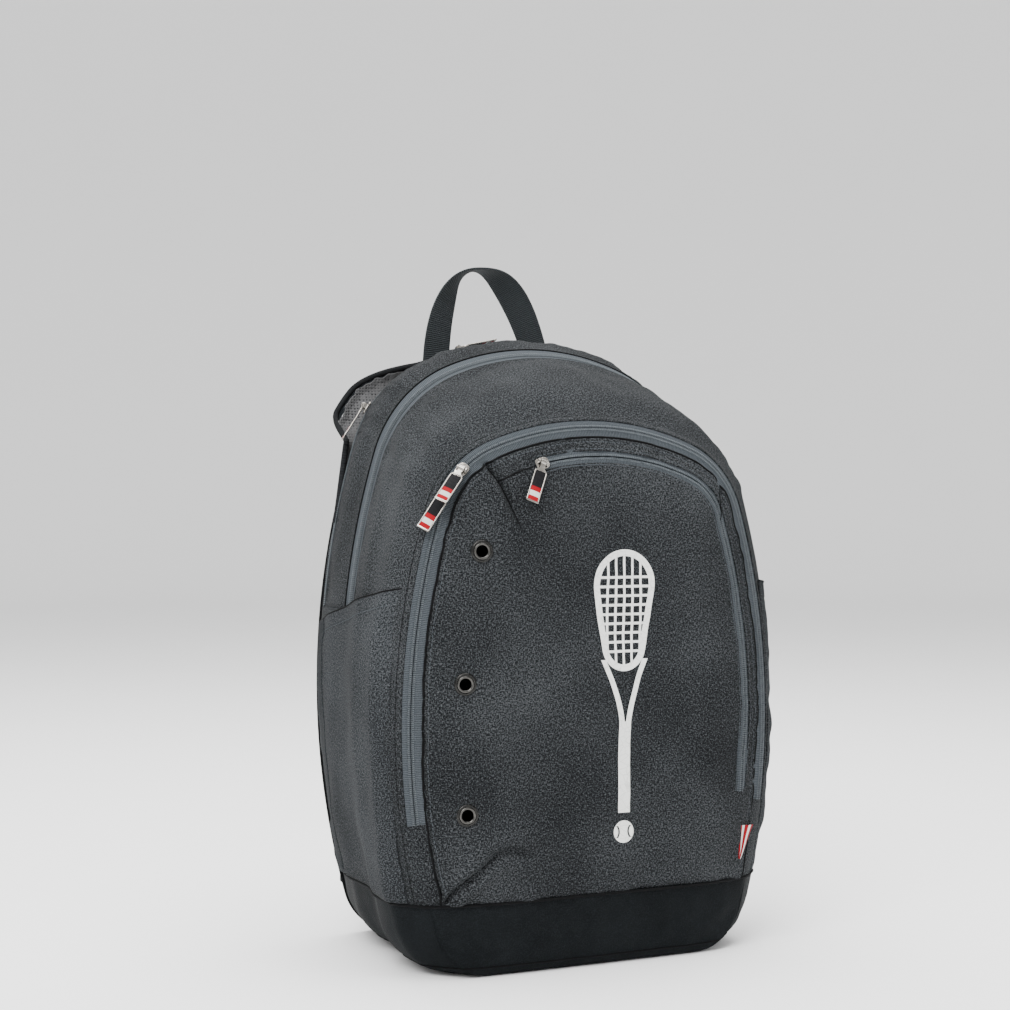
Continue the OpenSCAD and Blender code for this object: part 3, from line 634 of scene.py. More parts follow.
def cord(name, path, radius, sides, material, body, slot, *replaced, rib=None, stretch=None, closed=False):
    """A dressed round cord; rib is how far its weave runs from one point of the path to the next."""
    points, faces = tube(path, radius, sides, closed)
    if stretch is not None:
        centre = path[:, None]
        points = (centre + (points.reshape(len(path), sides, 3) - centre) * stretch).reshape(-1, 3)
    uv = None if rib is None else np.repeat(np.arange(len(path)), sides)[:, None] * [0, rib]
    return dress(tidy_mesh(new_piece(name, points, faces, uv=uv)), material, body, slot, *replaced)


def bend_at_fold(piece):
    """Bakes a piece of the front's placement into its mesh."""
    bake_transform(piece)
    return piece


# ---- front panel --------------------------------------------------------------------------------

EDGE_INSET = 8.0
POCKET_INSET = 22.0
POCKET_START = -16.0
POCKET_END_Z = FOLD_Z + 14
POCKET_OPEN = 4.6
POCKET_ZIP_LAST = 1.755
DART_LEFT = [(-96, 383), (-87, 371), (-79, 355), (-74, 342), (-69, 329)]
DART_RIGHT = [(101, 388), (107, 376), (109, 360), (107, 336)]
CORNER_FOLD = [(-126, 57), (-119, 67), (-105, 78), (-94, 87), (-86, 92)]
CORNER_ROLL = [(-96, 85), (-90, 92), (-80, 95), (-66, 92), (-48, 90)]
EYELETS = [(-100, 315), (-113.5, 218), (-111.5, 122)]
EYELET_HOLE = 5.2


def crease(flat, path, depth, width, puff=0.5):
    """A sewn-in dart or sharp fold, with cloth puffed up beside it."""
    far, along = near_path(flat, path)
    strength = smooth(along * 8 + 0.35) * smooth((1 - along) * 2.2)
    dent = np.exp(-(far / width) ** 2)
    swell = np.exp(-((far - 3.2 * width) / (2.2 * width)) ** 2)
    return strength * depth * (puff * swell - dent)


def front_relief(x, z):
    """How far the front's cloth stands out of the plain dome."""
    flat = stack(x, z)
    d = edge_distance(x, z)
    around = np.degrees(np.arctan2(x, z - 200)) * 3.2
    line = stack(around, d * 0.35)
    rise = 0.75 * ripple(flat, 105, 1) + 0.38 * ripple(flat, 46, 2) + 0.12 * ripple(flat, 17, 3)
    rise = rise + crease(flat, DART_LEFT, 3.8, 1.9, 0.6) + crease(flat, DART_RIGHT, 3.2, 1.9, 0.6)
    rise = rise + crease(flat, CORNER_FOLD, 4.2, 2.2, 0.8) + crease(flat, CORNER_ROLL, 3.2, 2.6, 1.0)
    edge = np.clip(d - EDGE_INSET, 0, None)
    rise = rise + 0.42 * ripple(line, 13, 4) * np.exp(-edge / 8) + 0.9 * np.exp(-edge / 2.2)
    top = smooth((z - 340) / 40)
    strip = np.exp(-((d - 14) / 6) ** 2)
    rise = rise + top * strip * 0.75 * ripple(line, 17, 5)
    mouth = np.abs(d - POCKET_INSET)
    rise = rise + 0.3 * ripple(line, 11, 6) * np.exp(-np.clip(mouth - POCKET_OPEN, 0, None) / 5)
    low = np.clip(z - BASE_Z, 0, None)
    hem = 0.5 * ripple(stack(x, low * 0.3), 21, 7) * np.exp(-low / 16)
    rise = rise - 1.1 * np.exp(-(low / 2.6) ** 2) + hem
    return np.where(z < BASE_Z - 0.5, 0, rise)


def front_angle(t, inset):
    """Outline angle for t from 0 at the crown, 1 at the shoulder's end, to 2 at the base."""
    end = side_angle(rib(FRONT_Y, inset), BASE_Z)
    return np.where(t <= 1, t * SHOULDER_END, SHOULDER_END + (t - 1) * (end - SHOULDER_END))


def front_point(t, inset, lift=0.0):
    """A point of the front at signed t (left negative), a distance inside the zip's line."""
    x, z = outline(rib(FRONT_Y, inset), np.sign(t) * front_angle(np.abs(t), inset))
    return stack(x, front_depth(x, z) - lift - front_relief(x, z), z)


ROW_T = np.concatenate([np.linspace(0.02, 0.3, 26, endpoint=False), np.linspace(0.3, 1, 52, endpoint=False),
                        np.linspace(1, 2, 150)])
SIDE_RINGS = np.array([8, 8.6, 9.4, 10.6, 12, 13.6, 15.4, 16.8, POCKET_INSET - POCKET_OPEN, 19.8, 22, 24.2,
                       POCKET_INSET + POCKET_OPEN, 27.4, 28.6, 30, 31.6, 33.4, 35.2, 37, 39, 41])
SLOT_FIRST, SLOT_LAST = 8, 12


def pocket_slot(t_values):
    """Which of the cells along the band fall in the pocket's zip opening."""
    angle = front_angle(np.abs(t_values), POCKET_INSET)
    z = outline(rib(FRONT_Y, POCKET_INSET), angle)[1]
    right = (t_values > 0) & (z > POCKET_END_Z)
    left = (t_values <= 0) & (angle < -POCKET_START)
    return right | left


def snap_holes(piece, places, radius):
    """Cuts round holes by sinking the cloth's nearest ring of points onto each hole's rim."""
    with editing(piece) as work:
        for x, z in places:
            def far(v):
                return (v.co.x / MM - x) ** 2 + (v.co.z / MM - z) ** 2
            inside = [v for v in work.verts if far(v) < radius ** 2]
            bmesh.ops.delete(work, geom=inside, context="VERTS")
            for v in [v for v in work.verts if v.is_boundary and far(v) < (radius * 2.1) ** 2]:
                out = Vector((v.co.x / MM - x, v.co.z / MM - z)).normalized() * radius
                v.co.x, v.co.z = (x + out.x) * MM, (z + out.y) * MM


def front_cloth():
    t = np.concatenate([-ROW_T[::-1], [0], ROW_T])
    band = front_point(t[None, :], SIDE_RINGS[:, None])
    open_cells = pocket_slot((t[:-1] + t[1:]) / 2)
    keep = np.ones((len(SIDE_RINGS) - 1, len(t) - 1), bool)
    keep[SLOT_FIRST:SLOT_LAST, open_cells] = False
    sheets = Sheets().add(band, keep, uv=band[..., [0, 2]])
    inner = SIDE_RINGS[-1]
    left, right = front_point(-ROW_T, inner), front_point(ROW_T, inner)
    u = np.linspace(0, 1, 96)
    x = left[:, None, 0] + (right[:, None, 0] - left[:, None, 0]) * u
    z = left[:, None, 2] + (right[:, None, 2] - left[:, None, 2]) * u
    field = stack(x, front_depth(x, z) - front_relief(x, z), z)
    sheets.add(field, uv=field[..., [0, 2]])
    top = front_point(np.array([0.0]), inner)
    cap_faces = [(0, *range(1, len(u) + 1))]
    sheets.add_mesh(np.concatenate([top, field[0]]), cap_faces)
    sheets.uvs[-1] = sheets.points[-1][:, [0, 2]]
    piece = tidy_mesh(sheets.build("front_cloth"))
    snap_holes(piece, EYELETS, EYELET_HOLE)
    thicken(piece, THICK["front"], BEHIND)
    bend_at_fold(dress(piece, CLOTH, None, "body_fabric", "front_panel", "front_panel_lower"))


def panel_line(inset, first, last, count, lift=0.0):
    return front_point(np.linspace(first, last, count), inset, lift)


def front_trim():
    """Piping round the panel's edge, near-black so that it also paints the shadow of the gap at that edge,
    and the rows of stitches beside it.
    """
    # the piping's near-black colour is partly painted shadow of the gap between panel and tape
    bend_at_fold(cord("panel_piping_and_gap_shade", panel_line(EDGE_INSET - 0.9, -2, 2, 700, lift=-0.6), 0.85, 8,
                      PIPING_AND_SHADE_LINES, None, "body_fabric", rib=1.7))
    facing = np.tile([0.0, -1.0, 0.0], (400, 1))
    seams = Sheets()
    for row in ((EDGE_INSET + 2.6, -1.97, 1.97, 900), (POCKET_INSET - POCKET_OPEN - 1.6, -0.2, 1.72, 500),
                (POCKET_INSET + POCKET_OPEN + 1.6, -0.2, 1.72, 500)):
        seams.add_mesh(*stitches(panel_line(*row), facing))
    bend_at_fold(sew("panel_stitches", seams, THREAD, None, "body_fabric"))


# ---- body ---------------------------------------------------------------------------------------

POCKET_FRONT, POCKET_BACK = -76.0, 88.0
POCKET_TOP_FRONT, POCKET_TOP_BACK = 287.0, 251.0


def pocket_edge(y):
    return POCKET_TOP_FRONT + (y - POCKET_FRONT) / (POCKET_BACK - POCKET_FRONT) * (POCKET_TOP_BACK
                                                                                  - POCKET_TOP_FRONT)


def pocket_middle(y):
    middle = (POCKET_FRONT + POCKET_BACK) / 2
    u = np.clip((y - middle) / (POCKET_BACK - middle), -1, 1)
    return 1 - u ** 4


def recess(y, z):
    """How far the wall sinks behind a slip pocket."""
    return 10 * pocket_middle(y) * smooth((pocket_edge(y) - z) / 24) * smooth((z - 70) / 45)


def gape(y, z):
    """How far a slip pocket's cloth stands out near its mouth."""
    return 1.4 * pocket_middle(y) * smooth((z - pocket_edge(y) + 100) / 100)


def wall_point(y, angle, lift=0.0):
    z = outline(rib(y), angle)[1]
    return skin(y, angle, recess(y, z) - lift)


def seam_pucker(run, far, pitch, seed, reach=8.0, height=0.45):
    near = smooth(far / 4)
    return near * height * ripple(stack(run, far * 0.3), pitch, seed) * np.exp(-np.clip(far, 0, None) / reach)


def crown_cloth(ys, end_angle, count, seed, front_seam, back_seam, recessed=False):
    """A strip of cloth over the crown, puckered along its two seams."""
    turn = np.linspace(-1, 1, count)
    y = np.asarray(ys)[:, None]
    angle = turn[None, :] * end_angle(y)
    run = turn[None, :] * 620
    calm = smooth((y - front_seam) / 9) * smooth((back_seam - y) / 9)
    lift = calm * (0.6 * ripple(stack(run, y), 95, seed) + 0.3 * ripple(stack(run, y * 1.4), 34, seed + 1))
    lift = (lift + seam_pucker(run, y - front_seam, 15, seed + 2)
            + seam_pucker(run, back_seam - y, 15, seed + 3))
    lift = lift + 0.8 * np.exp(-(y - front_seam) / 2) + 0.8 * np.exp(-(back_seam - y) / 2) - 0.2
    return wall_point(y, angle, lift) if recessed else skin(y, angle, -lift)


def foot_angle(y):
    return side_angle(rib(y), BASE_Z)


def top_end(y):
    return side_angle(rib(y), SIDE_ZIP_END)


def crown_seam_shade_cords(ends):
    """Near-black cords along the seams where cloth is sewn to the zips that go over the crown: painted shade
    of the seam grooves.
    """
    cords = Sheets()
    for y, last in ends:
        # each cord is a painted shade line along a zip seam
        cords.add_mesh(*tube(skin(np.full(420, y), np.linspace(-last, last, 420), 0.25), 0.75, 8))
    dress(tidy_mesh(cords.build("crown_seam_shade_cords")), PIPING_AND_SHADE_LINES, "bag", "body_fabric")


def body_cloth():
    front, back = CORNER_Y - 0.4, MAIN_ZIP_Y - WIDE_TAPE
    ys = np.concatenate([front + np.array([0, 0.6, 1.4, 2.6, 4.2, 6.4]), np.linspace(front + 9, back - 8, 24),
                         back - np.array([5.5, 3.6, 2.2, 1.1, 0.5, 0])])
    sheets = Sheets().add(crown_cloth(ys, foot_angle, 560, 20, front, back, recessed=True))
    for side in (-1, 1):
        y = np.linspace(back - 0.5, BACK_Y, 34)[:, None]
        top = np.where(y > RACKET_ZIP_Y + 1, sleeve_end() - 0.1, top_end(y))
        bottom = foot_angle(y)
        angle = top + (bottom - top) * np.linspace(0, 1, 70)[None, :]
        sheets.add(wall_point(y, side * angle, 0.2))
        t = np.linspace(0, 1, 18)[:, None]
        z = np.linspace(FOLD_Z + 4, BASE_Z, 26)[None, :]
        sheets.add(corner_band(t, z, side))
    piece = thicken(sheets.build("body_cloth"), THICK["body"])
    dress(piece, CLOTH, "bag", "body_fabric", "main_shell")


def corner_band(t, z, side):
    """Cloth round the front corner below the zip's ends, from the side wall to the panel's edge."""
    outer = skin(CORNER_Y - 0.4, side_angle(rib(CORNER_Y - 0.4), z), 0)
    r = rib(FRONT_Y, EDGE_INSET + 0.6)
    x, level = outline(r, side_angle(r, z))
    inner = stack(x, front_depth(x, level), level)
    bend = skin(FRONT_Y - 0.6, side_angle(rib(FRONT_Y), z), -1.6)
    t = t[..., None]
    return ((1 - t) ** 2 * outer + 2 * t * (1 - t) * bend + t * t * inner) * [side, 1, 1]


WIDE_TAPE = 9.2


def rear_gusset():
    front, back = MAIN_ZIP_Y + WIDE_TAPE, RACKET_ZIP_Y - WIDE_TAPE
    ys = np.concatenate([front + np.array([0, 0.5, 1.2, 2.4, 4.4]), np.linspace(front + 7, back - 7, 12),
                         back - np.array([4.4, 2.4, 1.2, 0.5, 0])])
    crown_seam_shade_cords([(MAIN_ZIP_Y - WIDE_TAPE, top_end(MAIN_ZIP_Y)), (front, top_end(front)),
                 (back, top_end(back))])
    piece = Sheets().add(crown_cloth(ys, top_end, 420, 40, front, back)).build("rear_gusset_cloth")
    dress(thicken(piece, THICK["body"]), CLOTH, "bag", "body_fabric", "rear_gusset")


# ---- racket sleeve ------------------------------------------------------------------------------

MOUTH_LOW, MOUTH_HIGH = -80.0, -14.0
LIP_Y, LIP_LEAN, LIP_RISE = RACKET_ZIP_Y + TAPE, 23.0, 8.0


def flare(angle):
    return smooth((angle - MOUTH_LOW) / 20) * smooth((MOUTH_HIGH - angle) / 36)


def sleeve_point(v, angle, inset=0.0):
    """v runs from 0 at the back panel, through 1 at the lip's seam, to 2 at the zip's coil."""
    f = flare(angle)
    past = np.clip(v - 1, 0, None)
    shut = np.where(v <= 1, BACK_Y + (LIP_Y - BACK_Y) * v, LIP_Y - past * (TAPE - 0.6))
    y = shut + (BACK_Y + LIP_LEAN / 2 * v - 12 * past - shut) * f
    out = f * LIP_RISE * (v + 0.0 - past * 0.58)
    p = skin(np.minimum(shut, BACK_Y), angle, inset - out)
    return stack(p[..., 0], y, p[..., 2])


def sleeve_lift(v, angle):
    run = angle * 5.4
    lift = 0.45 * ripple(stack(run, v * 20), 60, 60) + 0.4 * ripple(stack(run, v * 12), 16, 61) * v ** 2
    return lift * (1 + 0.8 * flare(angle))


def sleeve_end():
    return side_angle(rib(BACK_Y), SIDE_ZIP_END) - 0.15


def racket_sleeve():
    end = sleeve_end()
    angle = np.linspace(-end, end, 420)[None, :]
    v = np.linspace(0, 1, 18)[:, None]
    piece = Sheets().add(sleeve_point(v, angle, -sleeve_lift(v, angle))).build("sleeve_cloth")
    dress(thicken(piece, THICK["sleeve"]), CLOTH, "bag", "body_fabric", "racket_sleeve")

    mouth = np.linspace(MOUTH_LOW + 0.5, MOUTH_HIGH - 0.5, 150)[None, :]
    up = np.concatenate([np.linspace(1.9, 1.05, 8), np.linspace(0.98, 0, 18)])[:, None]
    inner = sleeve_point(up, mouth, 2.6 - sleeve_lift(np.minimum(up, 1), mouth))
    down = np.linspace(0, 1, 26)[1:, None]
    bottom = skin(BACK_Y - 3, mouth, 3 + 75 * down)
    upper = inner - stack(0 * mouth, 1.2 + 4.4 * flare(mouth), 0 * mouth)
    lower = stack(bottom[..., 0], BACK_Y - 4 + 0 * bottom[..., 0], bottom[..., 2])
    lining = Sheets().add(np.concatenate([upper, lower])).build("sleeve_lining")
    dress(thicken(lining, THICK["mesh"], np.array([0, 300, 300.0])), LINING_MESH, "bag", "lining")

    lip = sleeve_point(np.full(240, 2.0), np.linspace(MOUTH_LOW + 1, MOUTH_HIGH - 1, 240), 0.6)
    cord("lip_binding", lip, 2.3, 12, BINDING, "bag", "zip_tape", rib=1.1, stretch=[1, 1.35, 1])


# ---- zips ---------------------------------------------------------------------------------------

TOOTH_PITCH = 1.55
TOOTH = np.array([[-0.55, 0.5, 0], [0.4, 0.5, 0], [0.85, 2.5, 0], [-0.1, 2.5, 0],
                  [-0.35, 0.6, 0.85], [0.2, 0.6, 0.85], [0.65, 2.3, 0.7], [0.1, 2.3, 0.7]])
TOOTH_FACES = [(0, 3, 2, 1), (4, 5, 6, 7), (0, 1, 5, 4), (1, 2, 6, 5), (2, 3, 7, 6), (3, 0, 4, 7)]


def zip_side(fn, at, reach, side):
    """One tape of a zip and its row of slanted coil turns.

    fn(s, a) is the surface at a signed distance s from the zip's line and at place a along it."""
    s = side * np.array([0.45, 0.6, 1.2, 2.7, 3.1, 4.4, 6.0, reach - 0.6, reach])
    height = np.array([0.0, 0.25, 0.3, 0.3, 0.0, 0.0, 0.05, 0.0, -0.5])
    grid = fn(s[:, None], at[None, :])
    out = surface_out(grid) * (1 if side > 0 else -1)
    tape = Sheets().add(grid + out * height[:, None, None])
    line = fn(np.array([[0.0]]), at[None, :])[0]
    edge = fn(np.array([[side * 1.0]]), at[None, :])[0]
    points, way, place = resample(line, TOOTH_PITCH)
    steps = np.linalg.norm(np.diff(line, axis=0), axis=1)
    run = np.concatenate([[0], np.cumsum(steps)]) / steps.sum()
    across = unit(np.stack([np.interp(place, run, (edge - line)[:, k]) for k in range(3)], -1))
    up = unit(np.cross(way, across)) * (-side)
    if (up * (points - MIDDLE)).sum(1).mean() < 0:
        up = -up
    forward, sideways, raised = TOOTH.T[:, None, :, None]
    teeth = (points[:, None] + forward * way[:, None] + sideways * across[:, None]
             + (raised + 0.25) * up[:, None])
    faces = [tuple(8 * k + v for v in f) for k in range(len(points)) for f in TOOTH_FACES]
    return tape, (teeth.reshape(-1, 3), faces)


def surface_out(grid):
    n = unit(np.cross(np.gradient(grid, axis=0), np.gradient(grid, axis=1)))
    if (n * (grid - MIDDLE)).sum() < 0:
        n = -n
    return n


def zip_piece(name, sides, body, *replaced):
    tapes = Sheets()
    teeth = Sheets()
    for fn, at, reach, side in sides:
        tape, coil = zip_side(fn, at, reach, side)
        tapes.points += tape.points
        tapes.faces += [tuple(v + tapes.count for v in f) for f in tape.faces]
        tapes.uvs += [uv[:, ::-1] for uv in tape.uvs]
        tapes.count += tape.count
        teeth.add_mesh(*coil)
    piece = thicken(tapes.build(name), THICK["tape"])
    dress(piece, TAPE_CLOTH, body, "zip_tape", *replaced)
    coil = teeth.build(name + "_coil")
    tidy_mesh(coil, merge=0)
    for p in coil.data.polygons:
        p.use_smooth = False
    dress(coil, COIL, body, "zip_tape")


def front_body_tape(s, a):
    """From the coil line out to the body's seam, s from 0 to -8.5."""
    u = np.clip(-s / 8.5, 0, 1)
    return skin(np.full(np.broadcast(s, a).shape, FRONT_Y), a, 8.5 * -u) + stack(
        0 * a + 0 * s, (CORNER_Y - FRONT_Y - 0.6) * u ** 1.15 - 0.6 * np.sin(math.pi * u), 0 * a + 0 * s)


def front_panel_tape(s, a):
    u = np.clip(s / EDGE_INSET, 0, 1)
    x, z = outline(rib(FRONT_Y, s), a)
    y = FRONT_Y - 4.0 * u ** 0.9 + 0.3
    hidden = front_depth(x, z) - front_relief(x, z) + 1.2
    return stack(x, np.where(s > EDGE_INSET, hidden, y), z)


def crown_surface(centre_y):
    def place(s, a):
        return skin(centre_y + s, a, 0.35)
    return place


def rear_lip_surface(s, a):
    return sleeve_point(2 - s / (TAPE - 0.6), a, 0.35)


def pocket_surface(s, t):
    inset = POCKET_INSET - s
    angle = np.sign(t) * front_angle(np.abs(t), POCKET_INSET)
    x, z = outline(rib(FRONT_Y, inset), angle)
    return stack(x, front_depth(x, z) - front_relief(x, z) * 0.6 + 0.9, z)


def build_zips():
    end = side_angle(rib(FRONT_Y), FOLD_Z + 3)
    at = np.linspace(-end, end, 620)
    zip_piece("front_zip_outer", [(front_body_tape, at, 8.5, -1)], "bag", "front_zip_body")
    zip_piece("front_zip_inner", [(front_panel_tape, at, EDGE_INSET + 3.2, 1)], "front_flap",
              "front_zip_flap")
    strip = front_body_tape(np.array([-5.4, -5.7, -6.6, -7.8, -9.2])[:, None], at[None, :])
    strip = strip + surface_out(strip) * np.array([0.1, 0.9, 1.1, 1.0, 0.8])[:, None, None]
    cover = thicken(Sheets().add(strip).build("front_zip_cover"), THICK["cover"])
    dress(cover, CLOTH, "bag", "body_fabric")
    main_end = top_end(MAIN_ZIP_Y)
    at = np.linspace(-main_end, main_end, 560)
    surface = crown_surface(MAIN_ZIP_Y)
    zip_piece("main_zip_tapes", [(surface, at, WIDE_TAPE + 1, -1), (surface, at, WIDE_TAPE + 1, 1)],
              "bag", "main_zip")
    racket_end = top_end(RACKET_ZIP_Y)
    at = np.linspace(-racket_end, racket_end, 560)
    rear = np.linspace(-sleeve_end(), sleeve_end(), 560)
    zip_piece("racket_zip_tapes", [(crown_surface(RACKET_ZIP_Y), at, WIDE_TAPE + 1, -1),
                                   (rear_lip_surface, rear, TAPE - 0.8, 1)], "bag", "racket_zip")
    at = np.linspace(POCKET_START / SHOULDER_END, POCKET_ZIP_LAST, 620)
    zip_piece("pocket_zip_tapes", [(pocket_surface, at, POCKET_OPEN + 1.8, -1),
                                   (pocket_surface, at, POCKET_OPEN + 1.8, 1)], "front_flap", "pocket_zip")


# ---- side pockets, base and piping --------------------------------------------------------------

STRIP_Y = 50.0


def side_pockets():
    for side, name in ((-1, "left"), (1, "right")):
        y = np.concatenate([POCKET_FRONT + np.array([-3, -1.6, -0.4, 1.0, 3.0]),
                            np.linspace(POCKET_FRONT + 6, POCKET_BACK - 6, 62),
                            POCKET_BACK - np.array([3.5, 1.5, 0.3, -0.6, -1.2])])[:, None]
        v = np.concatenate([np.array([0, 0.004, 0.009, 0.018, 0.032, 0.05, 0.058, 0.066]),
                            np.linspace(0.08, 0.985, 78), [0.992, 1]])[None, :]
        r = rib(y)
        top, bottom = side_angle(r, pocket_edge(y)), side_angle(r, BASE_Z + 1.6)
        angle = top + (bottom - top) * v
        z = outline(r, angle)[1]
        flat = stack(y + 0 * z, z)
        end = np.minimum(y - POCKET_FRONT, POCKET_BACK - y)
        lift = 1.2 + gape(y, z) + 0.6 * ripple(flat, 75, 80 + side) + 0.3 * ripple(flat, 30, 82 + side)
        lift = lift + 0.6 * np.exp(-(v / 0.04) ** 2) - 0.7 * np.exp(-((v - 0.056) / 0.006) ** 2)
        lift = lift + seam_pucker(z, end, 17, 84 + side, 9, 0.7) + seam_pucker(y, z - BASE_Z, 15, 86 + side)
        lift = lift - 0.9 * smooth((2.5 - end) / 4) - 0.6 * smooth((0.02 - (1 - v)) / 0.02)
        lift = lift - 0.8 * np.exp(-((y - STRIP_Y) / 0.9) ** 2) + 0.35 * np.exp(-((y - STRIP_Y + 4) / 3) ** 2)
        grid = skin(y + 0 * z, side * angle, -lift)
        rear = np.where(y[:, 0] > STRIP_Y + 0.5)[0][:-4]
        strip = grid[rear] + 0.3 * surface_out(grid)[rear]
        band = thicken(Sheets().add(strip[:, :-2]).build(f"pocket_strip_{name}"), THICK["cover"])
        dress(band, STRIP_CLOTH, "bag", "body_fabric")
        piece = thicken(Sheets().add(grid).build(f"side_pocket_cloth_{name}"), THICK["pocket"])
        dress(piece, POCKET_CLOTH, "bag", "body_fabric", f"side_pocket_{name}")
        out = surface_out(grid)[4:-4, 5]
        rows = Sheets().add_mesh(*stitches(grid[4:-4, 5] + 0.1 * out, out))
        # a near-black cord along the pocket's top edge: a painted shadow line under the mouth's edge
        cord(f"pocket_mouth_shade_cord_{name}", grid[:, 0], 0.6, 8, PIPING_AND_SHADE_LINES, "bag", "body_fabric")
        sew(f"pocket_stitches_{name}", rows, THREAD, "bag", "body_fabric")


FOOT_SEAM_Z = 7.0


def base_tray():
    y = np.concatenate([np.linspace(BACK_Y + 2, CORNER_Y, 52), [-84, -86, -88, FRONT_Y]])[:, None]
    seam = foot_angle(y)
    v = np.linspace(0, 1, 40)
    down = seam + (FOOT_END - seam) * v[None, :]
    left, right = skin(y, -down), skin(y, down[:, ::-1])
    across = np.linspace(0, 1, 40)[None, 1:-1, None]
    bottom = left[:, -1:] + (right[:, :1] - left[:, -1:]) * across
    grid = np.concatenate([left, bottom, right], 1)
    flat = stack(grid[..., 1], grid[..., 0] + grid[..., 2])
    swell = (0.5 * ripple(flat, 60, 100) + 0.2 * ripple(flat, 24, 101)) * smooth(grid[..., 2] / 16)
    seam_dip = 1.0 * np.exp(-((BASE_Z - grid[..., 2]) / 2.2) ** 2)
    pushed = grid + stack(np.sign(grid[..., 0]) * (swell - seam_dip), 0 * swell, 0 * swell)
    sheets = Sheets().add(pushed)
    r = rib(FRONT_Y)
    angle = side_angle(r, BASE_Z) + (FOOT_END - side_angle(r, BASE_Z)) * np.linspace(0, 1, 40)[:, None]
    x, z = outline(r, angle)
    u = np.linspace(-1, 1, 130)[None, :]
    x, z = x * u, z + 0 * u
    flat = stack(x, z)
    side_gap = 1 - np.abs(u)
    swell = 0.5 * ripple(flat, 60, 102) + 0.3 * ripple(flat, 22, 103)
    swell = swell * smooth(z / 14) * smooth(side_gap * 9)
    dip = np.exp(-((BASE_Z - z) / 2.2) ** 2) * smooth(side_gap * 12)
    face = stack(x, front_depth(x, z) - swell + dip, z)
    sheets.add(face, uv=face[..., [0, 2]])
    foot = int(np.argmin(np.abs(face[:, 65, 2] - FOOT_SEAM_Z)))
    loop = np.concatenate([pushed[:, foot], face[foot, 1:-1], pushed[::-1, -1 - foot]])
    cord("foot_seam", loop, 0.8, 8, PIPING_AND_SHADE_LINES, "bag", "base_fabric")
    piece = thicken(sheets.build("base_cloth"), THICK["base"], np.array([0, 0, 60.0]))
    dress(piece, BASE_CLOTH, "bag", "base_fabric", "base_tray")


def seam_route(lift):
    y = np.linspace(BACK_Y, CORNER_Y, 90)
    left = skin(y, -foot_angle(y), -lift)
    t = np.linspace(0, 1, 14)[1:]
    corner = corner_band(t[:, None], np.array([[BASE_Z]]), -1)[:, 0] + [-0.3, -lift * 0.8, 0]
    x = np.linspace(corner[-1, 0], -corner[-1, 0], 150)[1:-1]
    front = stack(x, front_depth(x, BASE_Z + 0 * x) - lift * 0.8, BASE_Z + 0 * x)
    return np.concatenate([left, corner, front, (corner * [-1, 1, 1])[::-1], (left * [-1, 1, 1])[::-1]])


def base_piping():
    cord("seam_piping", seam_route(0.1), 1.1, 10, PIPING_AND_SHADE_LINES, "bag", "base_fabric", "base_piping", rib=1.9)


# ---- print, label and painted seam shade on the panel -------------------------------------------

PRINT_X = 17.0
HEAD_TOP, HEAD_LENGTH, HEAD_HALF, RIM = 315.0, 92.0, 26.0, 5.0
GRIP_LOW = FOLD_Z + 4
FILM, STRING_HALF = 0.28, 0.95
BALL_R, BALL_Z = 8.5, FOLD_Z - 10.5
# The ball's seams are two arcs about points outside it: how far out, how wide, and to what angle
SEAM_FAR, SEAM_R, SEAM_IN, SEAM_TURN, SEAM_REACH = 10.5, 7.3, 6.0, 38, 4.3


def on_front(x, z, lift=0.0):
    x, z = np.broadcast_arrays(np.asarray(x, float), np.asarray(z, float))
    return stack(x, front_depth(x, z) - front_relief(x, z) - lift, z)


def film_strip(sheets, left, right, across=6):
    """A printed strip between two matching rows of (x, z) points."""
    left, right = np.asarray(left, float), np.asarray(right, float)
    u = np.linspace(0, 1, across)[None, :, None]
    flat = left[:, None] + (right - left)[:, None] * u
    grid = on_front(flat[..., 0], flat[..., 1], FILM)
    sheets.add(grid, uv=flat)


def head_outline(shrink):
    """The racket head's outline: two arcs, wide at the top, joined by straight sides."""
    wide, narrow, count = HEAD_HALF, 0.72 * HEAD_HALF, 160
    top_z, low_z = HEAD_TOP - wide, HEAD_TOP - HEAD_LENGTH + narrow
    lean = math.degrees(math.asin((wide - narrow) / (top_z - low_z)))
    upper = np.linspace(-90 - lean, 90 + lean, count)
    lower = np.linspace(90 + lean, 270 - lean, count // 2)
    x = np.concatenate([(wide - shrink) * sind(upper), (narrow - shrink) * sind(lower)])
    z = np.concatenate([top_z + (wide - shrink) * cosd(upper), low_z + (narrow - shrink) * cosd(lower)])
    points = stack(x, z) + [PRINT_X, 0]
    return stack(*spaced(np.concatenate([points, points[:1]]), 2 * count))


def head_span(value, axis):
    """Where the head's inner outline crosses a vertical (axis 0) or level (axis 1) line."""
    ring = head_outline(RIM - 0.6)
    side = ring[:, axis] - value
    cross = np.where(side[:-1] * side[1:] < 0)[0]
    at = [ring[k, 1 - axis] + (ring[k + 1, 1 - axis] - ring[k, 1 - axis]) * side[k] / (side[k] - side[k + 1])
          for k in cross]
    return (min(at), max(at)) if len(at) > 1 else None


def print_piece(name, sheets, node):
    piece = thicken(sheets.build(name), THICK["print"], BEHIND)
    bend_at_fold(dress(piece, PRINT, None, "print", node))


